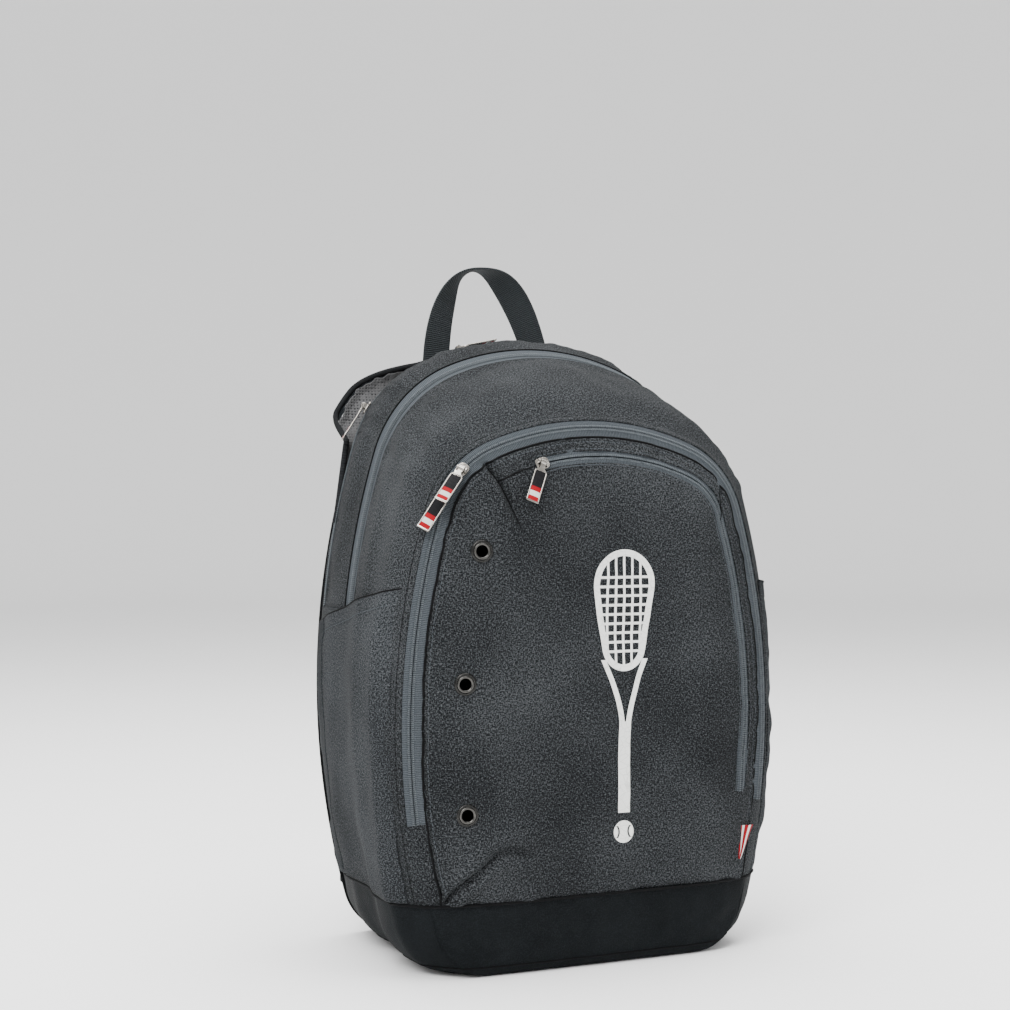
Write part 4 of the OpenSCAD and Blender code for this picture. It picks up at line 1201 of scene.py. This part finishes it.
def racket_print():
    sheets = Sheets()
    film_strip(sheets, head_outline(0), head_outline(RIM), 5)
    for x in PRINT_X + np.array([-14, -7, 0, 7, 14]):
        z = np.linspace(*head_span(x, 0), 40)
        film_strip(sheets, stack(x - STRING_HALF, z), stack(x + STRING_HALF, z), 3)
    for z in np.arange(HEAD_TOP - HEAD_LENGTH + 15, HEAD_TOP - 14, 7):
        x = np.linspace(*head_span(z, 1), 24)
        film_strip(sheets, stack(x, z - STRING_HALF), stack(x, z + STRING_HALF), 3)
    t = np.linspace(0, 1, 40)
    throat_top, throat_low = HEAD_TOP - HEAD_LENGTH + 9, GRIP_LOW + 66
    for side in (-1, 1):
        x = PRINT_X + side * (15.5 * (1 - t) ** 1.5 + 2.6)
        z = throat_top + (throat_low - throat_top) * t
        film_strip(sheets, stack(x - 2.2, z), stack(x + 2.2, z), 4)
    z = np.linspace(GRIP_LOW, throat_low + 3, 60)
    film_strip(sheets, stack(PRINT_X - 5, z), stack(PRINT_X + 5, z), 6)
    print_piece("racket_print", sheets, "racket_graphic")


def ball_print():
    sheets = Sheets()
    arc = np.linspace(-SEAM_TURN, SEAM_TURN, 30)
    for side in (-1, 1):
        seam_x, seam_z = side * (SEAM_FAR - SEAM_R * cosd(arc)), SEAM_R * sind(arc)
        reach = np.sqrt(np.clip(BALL_R ** 2 - seam_z ** 2, 0, None))
        z = BALL_Z + seam_z
        film_strip(sheets, stack(PRINT_X, z), stack(PRINT_X + seam_x, z), 5)
        across = np.sqrt(np.clip(1 - (seam_z / SEAM_IN) ** 2, 0, 1))
        inner = side * np.minimum(SEAM_FAR - SEAM_IN * across, reach)
        keep = np.abs(seam_z) < SEAM_REACH
        film_strip(sheets, stack(PRINT_X + inner, z)[keep], stack(PRINT_X + side * reach, z)[keep], 4)
    seam_top = SEAM_R * sind(SEAM_TURN)
    for side in (-1, 1):
        z = side * (seam_top + (BALL_R - seam_top) * np.linspace(0, 1, 12))
        reach = np.sqrt(np.clip(BALL_R ** 2 - z ** 2, 0, None))
        film_strip(sheets, stack(PRINT_X - reach, BALL_Z + z), stack(PRINT_X + reach, BALL_Z + z), 9)
    print_piece("ball_print", sheets, "ball_graphic")


def panel_seam_shade_cords():
    """Near-black cords sunk along the darts, the corner fold and the seam of the strip between the two zips:
    painted shade of those creases and seams.
    """
    sheets = Sheets()
    runs = [front_point(np.linspace(-0.47, POCKET_START / SHOULDER_END + 0.01, 60), POCKET_INSET, -0.25)]
    for path in (DART_LEFT, DART_RIGHT, CORNER_FOLD):
        x, z = spaced(np.array(path, float), 60)
        on_cloth = edge_distance(x, z) > EDGE_INSET + 1.2
        runs.append(on_front(x[on_cloth], z[on_cloth], -0.15))
    for run in runs:
        t = np.linspace(0, 1, len(run))
        fade = smooth(t * 12 + 0.4) * smooth(np.linspace(1, 0, len(run)) * 4 + 0.2)
        # each cord is a painted shade line along a crease or seam, thinning out at its ends
        sheets.add_mesh(*tube(run, 0.75 * fade + 0.05, 8))
    piece = tidy_mesh(sheets.build("panel_seam_shade_cords"))
    bend_at_fold(dress(piece, PIPING_AND_SHADE_LINES, None, "body_fabric"))


def label():
    """A folded ribbon label caught in the panel's seam."""
    low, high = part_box("side_flag")
    middle = (np.array(low) + np.array(high)) / 2 / MM
    t, u = np.linspace(-1, 1, 26)[:, None], np.linspace(-1, 1, 12)[None, :]
    sheets = Sheets()
    for lean, out in ((-0.2, 0.0), (0.42, 1.3)):
        x = middle[0] - 5.0 + 2.8 * t + u * 3.4 * (0.6 + 0.4 * t) + lean * 4 * (1 + t)
        z = middle[2] + 13 * t + 0 * u
        y = middle[1] - 0.5 - 1.6 * np.cos(u * 1.2) - out + 0.3 * np.sin(3 * t)
        sheets.add(stack(x, y, z), uv=stack(u + 0 * t, (t + 1) * 13 + 0 * u))
    piece = thicken(sheets.build("fold_label"), THICK["cover"], np.array([0, 300, 84.0]))
    dress(piece, LABEL, "bag", "flag_fabric", "side_flag")


# Radius and height out of the cloth, in millimetres before the 1.12 that fits them to the CAD's rings
RING_PROFILE = [(3.7, -4.3), (3.7, 0.6), (3.9, 1.2), (4.4, 1.65), (4.95, 1.75), (5.45, 1.5), (5.6, 1.1),
                (5.6, -4.3)]
COLLAR_PROFILE = [(5.6, 0.1), (5.65, 1.15), (6.1, 1.4), (6.8, 1.25), (7.35, 0.8), (7.5, 0.35), (7.45, 0.0)]


def eyelets():
    turns = np.arange(48)[:, None] * 7.5
    up = np.array([0, 0, 1.0])
    for name, metal, slot, node, profile in (
            ("eyelet_rings", RING_METAL, "nickel", "vent_eyelets", RING_PROFILE),
            ("eyelet_collars", DARK_METAL, "dark_metal", "eyelet_washers", COLLAR_PROFILE)):
        sheets = Sheets()
        for x, z in EYELETS:
            slope = (front_depth(x + 2, z) - front_depth(x - 2, z)) / 4
            out = unit(np.array([slope, -1.0, 0.0]))
            side = np.cross(out, up)
            centre = on_front(x, z)
            grid = np.stack([centre + h * out + 1.12 * r * (cosd(turns) * side + sind(turns) * up)
                             for r, h in profile])
            sheets.add(np.concatenate([grid, grid[:1]]), around=True)
        dress(tidy_mesh(sheets.build(name)), metal, "front_flap", slot, node)


# ---- sliders and pulls --------------------------------------------------------------------------

PIN_LIFT, PULL_LENGTH, PULL_HALF, FRAME_START = 4.9, 34.0, 5.5, 7.0
# Depth of the zip's line, its inset, angle round the outline, lean, turn of the pull, lift of the pull
SLIDERS = {
    "racket_side": (RACKET_ZIP_Y, 0.0, -56.0, -16.0, 180.0, 0.0),
    "racket_top": (RACKET_ZIP_Y, 0.0, -11.5, -16.0, 0.0, 0.0),
    "main_upper": (MAIN_ZIP_Y, 0.0, 76.0, 0.0, 0.0, 14.0),
    "main_lower": (MAIN_ZIP_Y, 0.0, 78.2, 0.0, 0.0, 0.0),
    "front_upper": (FRONT_Y, 0.0, -46.0, 54.0, 192.0, 14.0),
    "front_lower": (FRONT_Y, 0.0, -61.5, 54.0, 174.0, 0.0),
    "pocket": (FRONT_Y, POCKET_INSET, -14.0, 71.0, 232.0, 0.0),
}


def turn_matrix(axis, degrees):
    return np.array(Matrix.Rotation(math.radians(degrees), 3, axis))


def slider_place(key):
    """Where a slider sits, the slider's own axes, and its pull's axes."""
    y, inset, angle, lean, turn, lift = SLIDERS[key]
    x, z = outline(rib(y, inset), angle)
    if key == "pocket":
        y = front_depth(0.0, rib(FRONT_Y, POCKET_INSET)[0])
    own = turn_matrix("Y", angle) @ turn_matrix("X", lean)
    swung = own @ turn_matrix("Z", turn)
    pull = swung @ turn_matrix("Y", -lift)
    place = np.array([float(x), float(y), float(z)])
    return place, own, swung, pull


def slab(outline_points, low, high, bevel=0.3):
    """A plate with the given outline, from low to high, its edges rounded."""
    work = bmesh.new()
    loop = [work.verts.new((x, y, low)) for x, y in outline_points]
    face = work.faces.new(loop)
    made = bmesh.ops.extrude_face_region(work, geom=[face])
    bmesh.ops.translate(work, verts=[v for v in made["geom"] if isinstance(v, bmesh.types.BMVert)],
                        vec=(0, 0, high - low))
    bmesh.ops.recalc_face_normals(work, faces=work.faces)
    sharp = [e for e in work.edges if e.calc_face_angle(0) > 0.6]
    bmesh.ops.bevel(work, geom=sharp, offset=bevel, segments=2, profile=0.6, affect="EDGES")
    points = np.array([v.co[:] for v in work.verts])
    faces = [tuple(v.index for v in f.verts) for f in work.faces]
    work.free()
    return points, faces


def round_box(x0, x1, y0, y1, corner=0.8, steps=4):
    corners = [(x1 - corner, y1 - corner, 0), (x0 + corner, y1 - corner, 90),
               (x0 + corner, y0 + corner, 180), (x1 - corner, y0 + corner, 270)]
    return [(cx + corner * math.cos(math.radians(a + 90 * k / steps)),
             cy + corner * math.sin(math.radians(a + 90 * k / steps)))
            for cx, cy, a in corners for k in range(steps + 1)]


def spun(profile, start, way, side, count=20):
    """Rings of a profile of (distance, radius) about an axis, closed at its ends."""
    other = np.cross(way, side)
    turns = full_turn(count)[:, None]
    circle = np.cos(turns) * side + np.sin(turns) * other
    rings = np.concatenate([start + d * way + r * circle for d, r in profile])
    faces = grid_faces(len(profile), count, around=True) + cap_faces(0, (len(profile) - 1) * count, count)
    return rings, faces


def add_local(sheets, mesh, place, axes):
    points, faces = mesh
    sheets.add_mesh(points @ axes.T + place, faces)


def build_slider(key):
    place, own, swung, _ = slider_place(key)
    sheets = Sheets()
    shoe = [(-5.5, -2.6), (-4.6, -3.9), (-1.0, -4.5), (2.6, -4.5), (4.6, -3.6), (5.5, -2.0), (5.5, 2.0),
            (4.6, 3.6), (2.6, 4.5), (-1.0, 4.5), (-4.6, 3.9), (-5.5, 2.6)]
    add_local(sheets, slab(shoe, 1.0, 2.5, 0.5), place, own)
    under = [(x, max(y, -4.4)) for x, y in shoe]
    if key.startswith("front"):  # the panel's tape alone runs through it
        under = [(-5.2, 0.4), (5.2, 0.4), (5.2, 2.0), (4.4, 3.5), (2.6, 4.3), (-1.0, 4.3), (-4.4, 3.7),
                 (-5.2, 2.6)]
    add_local(sheets, slab(under, -4.2, -3.2, 0.25), place, own)
    add_local(sheets, slab([(2.4, -0.3), (4.8, -0.3), (4.8, 0.3), (2.4, 0.3)], -3.3, 1.2, 0.1), place, own)
    for side in (-1, 1):
        hood = [(-2.4, 1.5), (-1.9, 4.2), (-1.2, 5.4), (0, 5.9), (1.2, 5.4), (1.9, 4.2), (2.4, 1.5)]
        points, faces = slab(hood, -0.6, 0.6, 0.22)
        points = points[:, [0, 2, 1]] + [0, side * 3.3, 0]
        add_local(sheets, (points, faces), place, swung)
    pin = spun([(-4.1, 0.5), (-4.0, 0.95), (-3.8, 0.8), (3.8, 0.8), (4.0, 0.95), (4.1, 0.5)],
               np.array([0, 0, PIN_LIFT]), np.array([0, 1.0, 0]), np.array([1.0, 0, 0]), 14)
    add_local(sheets, pin, place, swung)
    sew(f"zip_slider_{key}", sheets, NICKEL, f"{key}_slider", "nickel", f"slider_{key}", hard=True)


def soften(piece, angle=40):
    """Smooth shading that keeps a hard part's edges."""
    piece.data.shade_smooth()
    with editing(piece) as work:
        for e in work.edges:
            e.smooth = e.calc_face_angle(0) < math.radians(angle)


def build_pull(key):
    place, _, swung, pull = slider_place(key)
    centre = place + swung @ np.array([0, 0, PIN_LIFT])
    sheets = Sheets()
    eye = spun([(-2.3, 1.15), (-2.3, 1.9), (-2.0, 2.2), (2.0, 2.2), (2.3, 1.9), (2.3, 1.15), (-2.3, 1.15)],
               np.zeros(3), np.array([0, 1.0, 0]), np.array([1.0, 0, 0]), 18)
    eye = (eye[0], [f for f in eye[1] if len(f) == 4])
    add_local(sheets, eye, centre, pull)
    neck = [(1.5, -2.2), (4.2, -1.7), (5.6, -2.2), (7.6, -4.2), (8.2, -4.2)]
    neck += [(x, -y) for x, y in neck[::-1]]
    add_local(sheets, slab(neck, -0.75, 0.75, 0.3), centre, pull)
    ring = np.array(round_box(FRAME_START + 0.7, PULL_LENGTH - 0.7, -PULL_HALF + 1.0, PULL_HALF - 1.0, 1.2))
    path = stack(ring[:, 0], ring[:, 1], 0.0)
    add_local(sheets, tube(path, 0.62, 10, closed=True), centre, pull)
    tip = round_box(PULL_LENGTH - 1.7, PULL_LENGTH - 0.1, -PULL_HALF + 0.5, PULL_HALF - 0.5, 0.7)
    add_local(sheets, slab(tip, -0.7, 0.7, 0.3), centre, pull)
    sew(f"zip_pull_{key}", sheets, NICKEL, f"{key}_pull", "nickel", f"pull_{key}", hard=True)
    x = np.linspace(FRAME_START + 1.0, PULL_LENGTH - 1.2, 36)[:, None]
    y = np.linspace(-4.15, 4.15, 9)[None, :]
    z = 0.7 * (1 - (y / 5.2) ** 2) + 0.06 * np.sin(x * 1.9)
    both = np.concatenate([stack(x, y, z), stack(x, y, -z)[:, ::-1]], 1)
    uv = stack(np.concatenate([y, -y[:, ::-1]], 1) + 0 * x, x + 0 * np.concatenate([y, y], 1))
    ribbon = Sheets().add(both @ pull.T + centre, around=True, uv=uv)
    count = both.shape[1]
    ribbon.faces += cap_faces(0, (len(both) - 1) * count, count)
    sew(f"pull_ribbon_{key}", ribbon, RIBBON, f"{key}_pull", "pull_insert", f"insert_{key}", hard=True)


# ---- straps and haul loop -----------------------------------------------------------------------


def bezier(p, t):
    p = np.asarray(p, float)
    t = np.asarray(t, float)[:, None]
    return ((1 - t) ** 3 * p[0] + 3 * (1 - t) ** 2 * t * p[1] + 3 * (1 - t) * t * t * p[2] + t ** 3 * p[3])


def flat_band(path, across, half_width, half_thick, around, crown):
    """Rings of a flat band along a path; crown shapes its section from 0 at the rim to 1."""
    way = unit(np.gradient(path, axis=0))
    side = unit(across - (across * way).sum(-1, keepdims=True) * way)
    out = np.cross(way, side)
    turn = full_turn(around)
    u, v = np.cos(turn), np.sin(turn)
    flat = np.sign(u) * np.abs(u) ** 0.75
    thick = np.sign(v) * np.abs(v) ** crown
    half_width = np.broadcast_to(half_width, (len(path),))[:, None, None]
    half_thick = np.broadcast_to(half_thick, (len(path),))[:, None, None]
    return (path[:, None] + half_width * flat[None, :, None] * side[:, None]
            + half_thick * thick[None, :, None] * out[:, None])


def add_band(sheets, rings, path, half_width):
    """Adds a closed flat band, its weave measured along a path."""
    rows, cols = rings.shape[:2]
    start = sheets.count
    uv = stack(np.cos(full_turn(cols))[None, :] * half_width, distance_run(path)[:, None])
    sheets.add(rings, around=True, uv=uv)
    sheets.faces += cap_faces(start, start + (rows - 1) * cols, cols)
    return sheets


def haul_loop():
    left, right, y, foot, top = -49.0, 49.0, 97.0, 450.0, 546.0
    t = np.linspace(0, 1, 150)
    path = bezier([(left, y, foot), (left - 2, y, top + 28), (right - 26, y, top + 34), (right, y, foot)], t)
    twist = 180 * smooth(t)
    rings = flat_band(path, stack(cosd(twist), sind(twist), 0 * t), 12.0, 1.15, 28, 0.35)
    sew("haul_webbing", add_band(Sheets(), rings, rings[:, 0], 12), WEBBING, "haul_loop", "webbing",
        "haul_handle")


STRAP_TOP, STRAP_LOW = np.array([44, 102, 424.0]), np.array([92, 122, 205.0])
STRAP_FOOT = np.array([118, 100.3, 66.0])
LOCK_AT = STRAP_LOW + [2, -1, -17]


def shoulder_strap(side):
    name = "left" if side < 0 else "right"
    mirror = np.array([side, 1.0, 1.0])
    t = np.linspace(0, 1, 170)
    path = bezier([STRAP_TOP, STRAP_TOP + [0, 52, 18], STRAP_LOW + [-14, 26, 110], STRAP_LOW], t)
    soft = smooth(t * 7) * smooth((1 - t) * 7)
    half = 31 * (0.36 + 0.64 * soft)
    thick = 5.4 * (0.4 + 0.6 * soft) * (1 + 0.05 * ripple(path, 40, 120))
    sideways = np.array([1.0, 0, 0])
    rings = flat_band(path, sideways, half, thick, 56, 0.55)
    mirrored = rings * mirror
    pad = sew(f"strap_pad_{name}", add_band(Sheets(), mirrored, mirrored[:, 0], 31), CLOTH, f"{name}_strap",
              "body_fabric", f"shoulder_strap_{name}")
    edges = Sheets()
    for k in (0, 28):
        edges.add_mesh(*tube(mirrored[2:-2, k], 1.9, 10))
    dress(tidy_mesh(edges.build(f"strap_binding_{name}")), BINDING, f"{name}_strap", "body_fabric")
    rows = Sheets()
    way = unit(np.gradient(path, axis=0))
    out = np.cross(way, unit(sideways - way * way[:, :1]))[8:-8]
    for k in (5, 23, 33, 51):
        rows.add_mesh(*stitches(mirrored[8:-8, k], (out if k < 28 else -out) * mirror))
    sew(f"strap_stitches_{name}", rows, THREAD, f"{name}_strap", "body_fabric")

    low_start = LOCK_AT + [0.6, -1.5, -15]
    web = bezier([low_start + [0, 0.6, 9], low_start + [8, -2, -30], STRAP_FOOT + [-6, 3, 40],
                  STRAP_FOOT + [0, 0.4, 3]], np.linspace(0, 1, 60))
    tail = bezier([STRAP_LOW + [0, 0, 4], STRAP_LOW + [0.4, 0, -3], STRAP_LOW + [0.6, 0, -5],
                   STRAP_LOW + [1, -0.6, -11]], np.linspace(0, 1, 12))
    sheets = Sheets()
    for run in (web, tail):
        add_band(sheets, flat_band(run, sideways, 12.3, 0.85, 20, 0.35) * mirror, run, 12.3)
    sew(f"strap_web_{name}", sheets, WEBBING, f"{name}_strap", "webbing", f"strap_webbing_{name}")

    lock = Sheets()
    centre = LOCK_AT + [0, 0, 1]
    lie = np.array([[1.0, 0, 0], [0, 0, 1.0], [0, 1.0, 0]])
    ring = np.array(round_box(-15, 15, -13, 13, 3.0))
    points, faces = tube(stack(ring[:, 0], ring[:, 1], 0.0), 1.25, 10, closed=True)
    lock.add_mesh((points * [1, 1, 1.7] @ lie.T + centre) * mirror, faces)
    for z, depth in ((-13.0, 2.3), (-4.2, 1.6), (4.2, 2.2), (12.6, 2.3)):
        points, faces = slab(round_box(-14.6, 14.6, z - 1.3, z + 1.3, 0.9), -depth, depth, 0.5)
        lock.add_mesh((points @ lie.T + centre) * mirror, faces)
    sew(f"strap_lock_{name}", lock, PLASTIC, f"{name}_strap", "buckle_plastic", f"ladder_lock_{name}",
        hard=True)


# ---- back ---------------------------------------------------------------------------------------

BACK_FACE = BACK_Y + 3


def back_panel():
    angle = np.concatenate([[1.2, 2.4, 4, 6], np.linspace(9, 179.5, 130)])[:, None]
    r = rib(BACK_Y, 0.3)
    x, z = outline(r, angle)
    u = np.linspace(-1, 1, 110)[None, :]
    rim = np.minimum((1 - np.abs(u)) * np.abs(x), 40.0)
    x, z = x * u, z + 0 * u
    flat = stack(x, z)
    puff = 0.35 * ripple(flat, 80, 140) + 0.8 * (1 - np.exp(-rim / 9))
    grid = stack(x, BACK_FACE - 0.9 + puff, z)
    piece = Sheets().add(grid, uv=grid[..., [0, 2]]).build("back_cloth")
    thicken(piece, THICK["back"], AHEAD)
    dress(piece, BACK_CLOTH, "bag", "back_fabric", "back_panel")
    x, z = outline(rib(BACK_Y, -0.2), np.linspace(-179, 179, 420))
    cord("back_piping", stack(x, BACK_Y + 1.0, z), 1.7, 10, PIPING_AND_SHADE_LINES, "bag", "back_fabric", rib=3.0)


def cushion(name, outline_points, depth, cap, channels, node):
    """A foam pad swollen by cloth simulation, flat where it rests, with sewn channels."""
    low = BACK_FACE + 0.5
    points, faces = slab(outline_points, 0.0, depth, 2.5)
    piece = tidy_mesh(new_piece(name, stack(points[:, 0], low + points[:, 2], points[:, 1]), faces))
    remesh = piece.modifiers.new("remesh", "REMESH")
    remesh.mode, remesh.voxel_size = "VOXEL", 0.0045
    settle(piece)
    after = before = np.array([v.co[:] for v in piece.data.vertices])
    cloth = piece.modifiers.new("cloth", "CLOTH")
    cloth.settings.use_pressure = True
    cloth.settings.uniform_pressure_force = 4.0
    cloth.settings.effector_weights.gravity = 0.0
    cloth.settings.quality = 5
    cloth.collision_settings.use_collision = False
    cloth.point_cache.frame_start, cloth.point_cache.frame_end = 1, 20
    scene = bpy.context.scene
    for number in range(1, 21):
        scene.frame_set(number)
    settle(piece)
    after = np.array([v.co[:] for v in piece.data.vertices])
    move = after - before
    far = np.linalg.norm(move, axis=1, keepdims=True)
    after = before + move * np.minimum(1, cap * MM / np.maximum(far, 1e-9))
    scene.frame_set(1)
    after = after / MM
    high = after[:, 1] > low + depth * 0.45
    for a, b in channels:
        gap, _ = near_path(after[:, [0, 2]], [a, b])
        after[:, 1] -= np.where(high, 4.2 * np.exp(-(gap / 3.4) ** 2), 0)
    after[:, 1] = np.maximum(after[:, 1], low - 0.3)
    piece.data.vertices.foreach_set("co", (after * MM).astype(np.float32).ravel())
    fine = piece.modifiers.new("fine", "SUBSURF")
    fine.levels = fine.render_levels = 1
    settle(piece)
    piece.data.shade_smooth()
    dress(piece, BACK_MESH, "bag", "back_mesh", node)
    ring = np.array(outline_points + outline_points[:1])
    middle = ring.mean(0)
    x, z = spaced(ring, 260)
    x, z = middle[0] + (x[:-1] - middle[0]) * 1.02, middle[1] + (z[:-1] - middle[1]) * 1.01
    cord(name + "_binding", stack(x, low + 1.6, z), 1.5, 8, BINDING, "bag", "back_mesh", rib=2.5, closed=True)


def back_pads():
    for side, name in ((-1, "left"), (1, "right")):
        points = round_box(*sorted((side * 21, side * 113)), 121, 389, 19, 8)
        bars = [((side * 30, z), (side * 104, z + 10)) for z in (188, 255, 322)]
        cushion(f"back_cushion_{name}", points, 9.5, 5, bars, f"back_pad_{name}")
    points = round_box(-97, 97, 49, 105, 15, 8)
    cushion("lumbar_cushion", points, 9.5, 5, [((-40, 55), (-40, 100)), ((40, 55), (40, 100))], "lumbar_pad")


STITCH_INSET = 3.0


def sewn_patch(name, x0, x1, z0, z1, y, thick, material, body, slot, node, cross=True):
    """A stitched patch: a raised plate with a turned edge and a box of stitches, crossed over."""
    points, faces = slab(round_box(x0, x1, z0, z1, 2.2, 5), 0, thick, 0.7)
    piece = new_piece(name, stack(points[:, 0], y + points[:, 2], points[:, 1]), faces, uv=points[:, :2])
    soften(tidy_mesh(piece, merge=0), 50)
    dress(piece, material, body, slot, node)
    x0, x1, z0, z1 = x0 + STITCH_INSET, x1 - STITCH_INSET, z0 + STITCH_INSET, z1 - STITCH_INSET
    corners = [(x0, z0), (x1, z0), (x1, z1), (x0, z1), (x0, z0)]
    runs = list(zip(corners[:-1], corners[1:]))
    if cross:
        runs += [(corners[0], corners[2]), (corners[1], corners[3])]
    rows = Sheets()
    for (ax, az), (bx, bz) in runs:
        t = np.linspace(0, 1, 30)
        path = stack(ax + (bx - ax) * t, y + thick, az + (bz - az) * t)
        rows.add_mesh(*stitches(path, np.tile([0.0, 1.0, 0], (30, 1))))
    sew(name + "_stitches", rows, THREAD, body, slot)


def box_mm(node):
    """A CAD node's lowest and highest corner, in millimetres."""
    low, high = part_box(node)
    return [v / MM for v in low], [v / MM for v in high]


def back_trim():
    for name, node, thick, material, slot, cross in (
            ("yoke_patch", "strap_yoke", 3.6, CLOTH, "body_fabric", False),
            ("anchor_patch_left", "strap_anchor_left", 3.2, WEBBING, "webbing", True),
            ("anchor_patch_right", "strap_anchor_right", 3.2, WEBBING, "webbing", True)):
        low, high = box_mm(node)
        sewn_patch(name, low[0], high[0], low[2], high[2], low[1], thick, material, "bag", slot, node, cross)


# ---- inside -------------------------------------------------------------------------------------


def inner_wall(name, y, inset, rib_y, node, seed):
    angle = np.concatenate([[1.5, 3, 5, 8], np.linspace(12, 179, 90)])[:, None]
    x, z = outline(rib(rib_y, inset), angle)
    u = np.linspace(-1, 1, 80)[None, :]
    x, z = x * u, z + 0 * u
    wave = 0.7 * ripple(stack(x, z), 90, seed) + 0.3 * ripple(stack(x, z), 33, seed + 1)
    piece = Sheets().add(stack(x, y + wave, z), uv=stack(x, z)).build(name)
    dress(thicken(piece, THICK["wall"], np.array([0, 600.0, 230])), LINING, "bag", "lining", node)


def rounded_sheet(name, points, y, thick, body, node, seed):
    """A flat cloth shape with soft waves, cut to a rounded outline."""
    plate, faces = slab(points, 0, thick, 0.5)
    piece = new_piece(name, stack(plate[:, 0], y - plate[:, 2], plate[:, 1]), faces, uv=plate[:, :2])
    with editing(piece) as mesh:
        for _ in range(4):
            long = [e for e in mesh.edges if e.calc_length() > 0.02]
            if long:
                bmesh.ops.subdivide_edges(mesh, edges=long, cuts=1, use_grid_fill=True)
        bmesh.ops.triangulate(mesh, faces=[f for f in mesh.faces if len(f.verts) > 4])
        for v in mesh.verts:
            v.co.y += float(0.35 * ripple(np.array([v.co.x, v.co.z]) / MM, 60, seed)) * MM
    soften(tidy_mesh(piece, merge=0), 50)
    dress(piece, LINING, body, "lining", node)


def insides():
    inner_wall("divider_cloth", 43.0, 14.4, 42, "sleeve_divider", 160)
    inner_wall("front_wall_cloth", -71.5, 8.4, -74, "main_front_wall", 164)
    low, high = box_mm("laptop_sleeve")
    rounded_sheet("laptop_pocket_cloth", round_box(low[0] + 1, high[0] - 1, low[2] + 1, high[2] - 1, 11, 6),
                  32.5, 4, "bag", "laptop_sleeve", 170)
    low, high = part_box("pocket_lining")
    half = (high.x - low.x) / MM / 2 - 1
    bottom, top = low.z / MM + 1, high.z / MM - 1
    right = [(half - 6, bottom), (half, bottom + 6), (half, top - 165), (half - 4, top - 60),
             (half - 22, top - 12), (half - 44, top)]
    left = [(-x, z) for x, z in right[::-1]]
    rounded_sheet("pocket_bag_cloth", left[-2:] + right + left[:-2], -100.4, 1.0, "front_flap",
                  "pocket_lining", 172)
    low, high = box_mm("base_board")
    points, faces = slab(round_box(low[0], high[0], low[1], high[1], 12, 8), low[2], high[2], 0.5)
    board = new_piece("stiffener", points, faces, uv=points[:, :2])
    soften(tidy_mesh(board, merge=0))
    dress(board, BOARD, "bag", "board", "base_board")


front_cloth()
front_trim()
body_cloth()
rear_gusset()
racket_sleeve()
build_zips()
side_pockets()
base_tray()
base_piping()
racket_print()
ball_print()
panel_seam_shade_cords()
label()
eyelets()
for slider_key in SLIDERS:
    build_slider(slider_key)
    build_pull(slider_key)
haul_loop()
for strap_side in (-1, 1):
    shoulder_strap(strap_side)
back_panel()
back_pads()
back_trim()
insides()

# ---- stage, light and camera --------------------------------------------------------------------


def stage():
    """A pale floor that curves up into a low wall all round, far from the bag."""
    rise = np.linspace(0, 80, 24)
    radius = np.concatenate([[0.02], np.geomspace(0.1, 5, 24), 5 + 1.8 * sind(rise[1:])])[:, None]
    height = np.concatenate([np.zeros(25), 4.4 * (1 - cosd(rise[1:]))])[:, None]
    turn = np.linspace(0, 360, 97)[None, :-1]
    rings = stack(radius * cosd(turn), radius * sind(turn), height - 0.0005) / MM
    floor = Sheets().add(rings, around=True)
    floor.faces.append(tuple(range(96)))
    piece = floor.build("floor")
    tidy_mesh(piece, outside=False)
    piece.data.materials.append(pale_floor("floor_paint"))


def area_light(name, place, target, size, watts):
    data = bpy.data.lights.new(name, "AREA")
    data.shape = "RECTANGLE"
    data.size, data.size_y = size
    data.energy = watts
    lamp = bpy.data.objects.new(name, data)
    bpy.context.collection.objects.link(lamp)
    lamp.location = place
    lamp.rotation_euler = (Vector(target) - Vector(place)).to_track_quat("-Z", "Y").to_euler()


CAMERA_TURN, CAMERA_FAR, CAMERA_HEIGHT = -26.7, 1.6, 0.358
CAMERA_YAW, CAMERA_PITCH, CAMERA_LENS = -1.02, -0.36, 71.3


def camera():
    a = math.radians(CAMERA_TURN)
    yaw, pitch = math.radians(CAMERA_YAW), math.radians(CAMERA_PITCH)
    ahead, right = Vector((-math.sin(a), math.cos(a), 0)), Vector((math.cos(a), math.sin(a), 0))
    up = Vector((0, 0, 1))
    flat = ahead * math.cos(yaw) + right * math.sin(yaw)
    side = right * math.cos(yaw) - ahead * math.sin(yaw)
    look = flat * math.cos(pitch) + up * math.sin(pitch)
    top = up * math.cos(pitch) - flat * math.sin(pitch)
    data = bpy.data.cameras.new("camera")
    data.lens = CAMERA_LENS
    data.sensor_width = 36
    eye = bpy.data.objects.new("camera", data)
    bpy.context.collection.objects.link(eye)
    rows = Matrix((side, top, -look)).transposed().to_4x4()
    rows.translation = Vector((math.sin(a) * CAMERA_FAR, -math.cos(a) * CAMERA_FAR, CAMERA_HEIGHT))
    eye.matrix_world = rows
    bpy.context.scene.camera = eye


def light():
    area_light("key", (-1.5, -1.3, 2.1), (0, 0, 0.25), (1.4, 1.4), 82)
    area_light("overhead", (0.1, 0.2, 2.3), (0, 0, 0.2), (2.2, 2.2), 112)
    area_light("fill", (1.6, -1.8, 0.9), (0, 0, 0.25), (1.6, 1.6), 6)
    area_light("rim", (-1.8, 1.0, 1.2), (0, 0, 0.35), (1.2, 1.2), 4)
    world = bpy.data.worlds.new("studio")
    world.use_nodes = True
    world.node_tree.nodes["Background"].inputs[0].default_value = (1, 1, 1, 1)
    world.node_tree.nodes["Background"].inputs[1].default_value = 1.05
    bpy.context.scene.world = world


stage()
light()
camera()
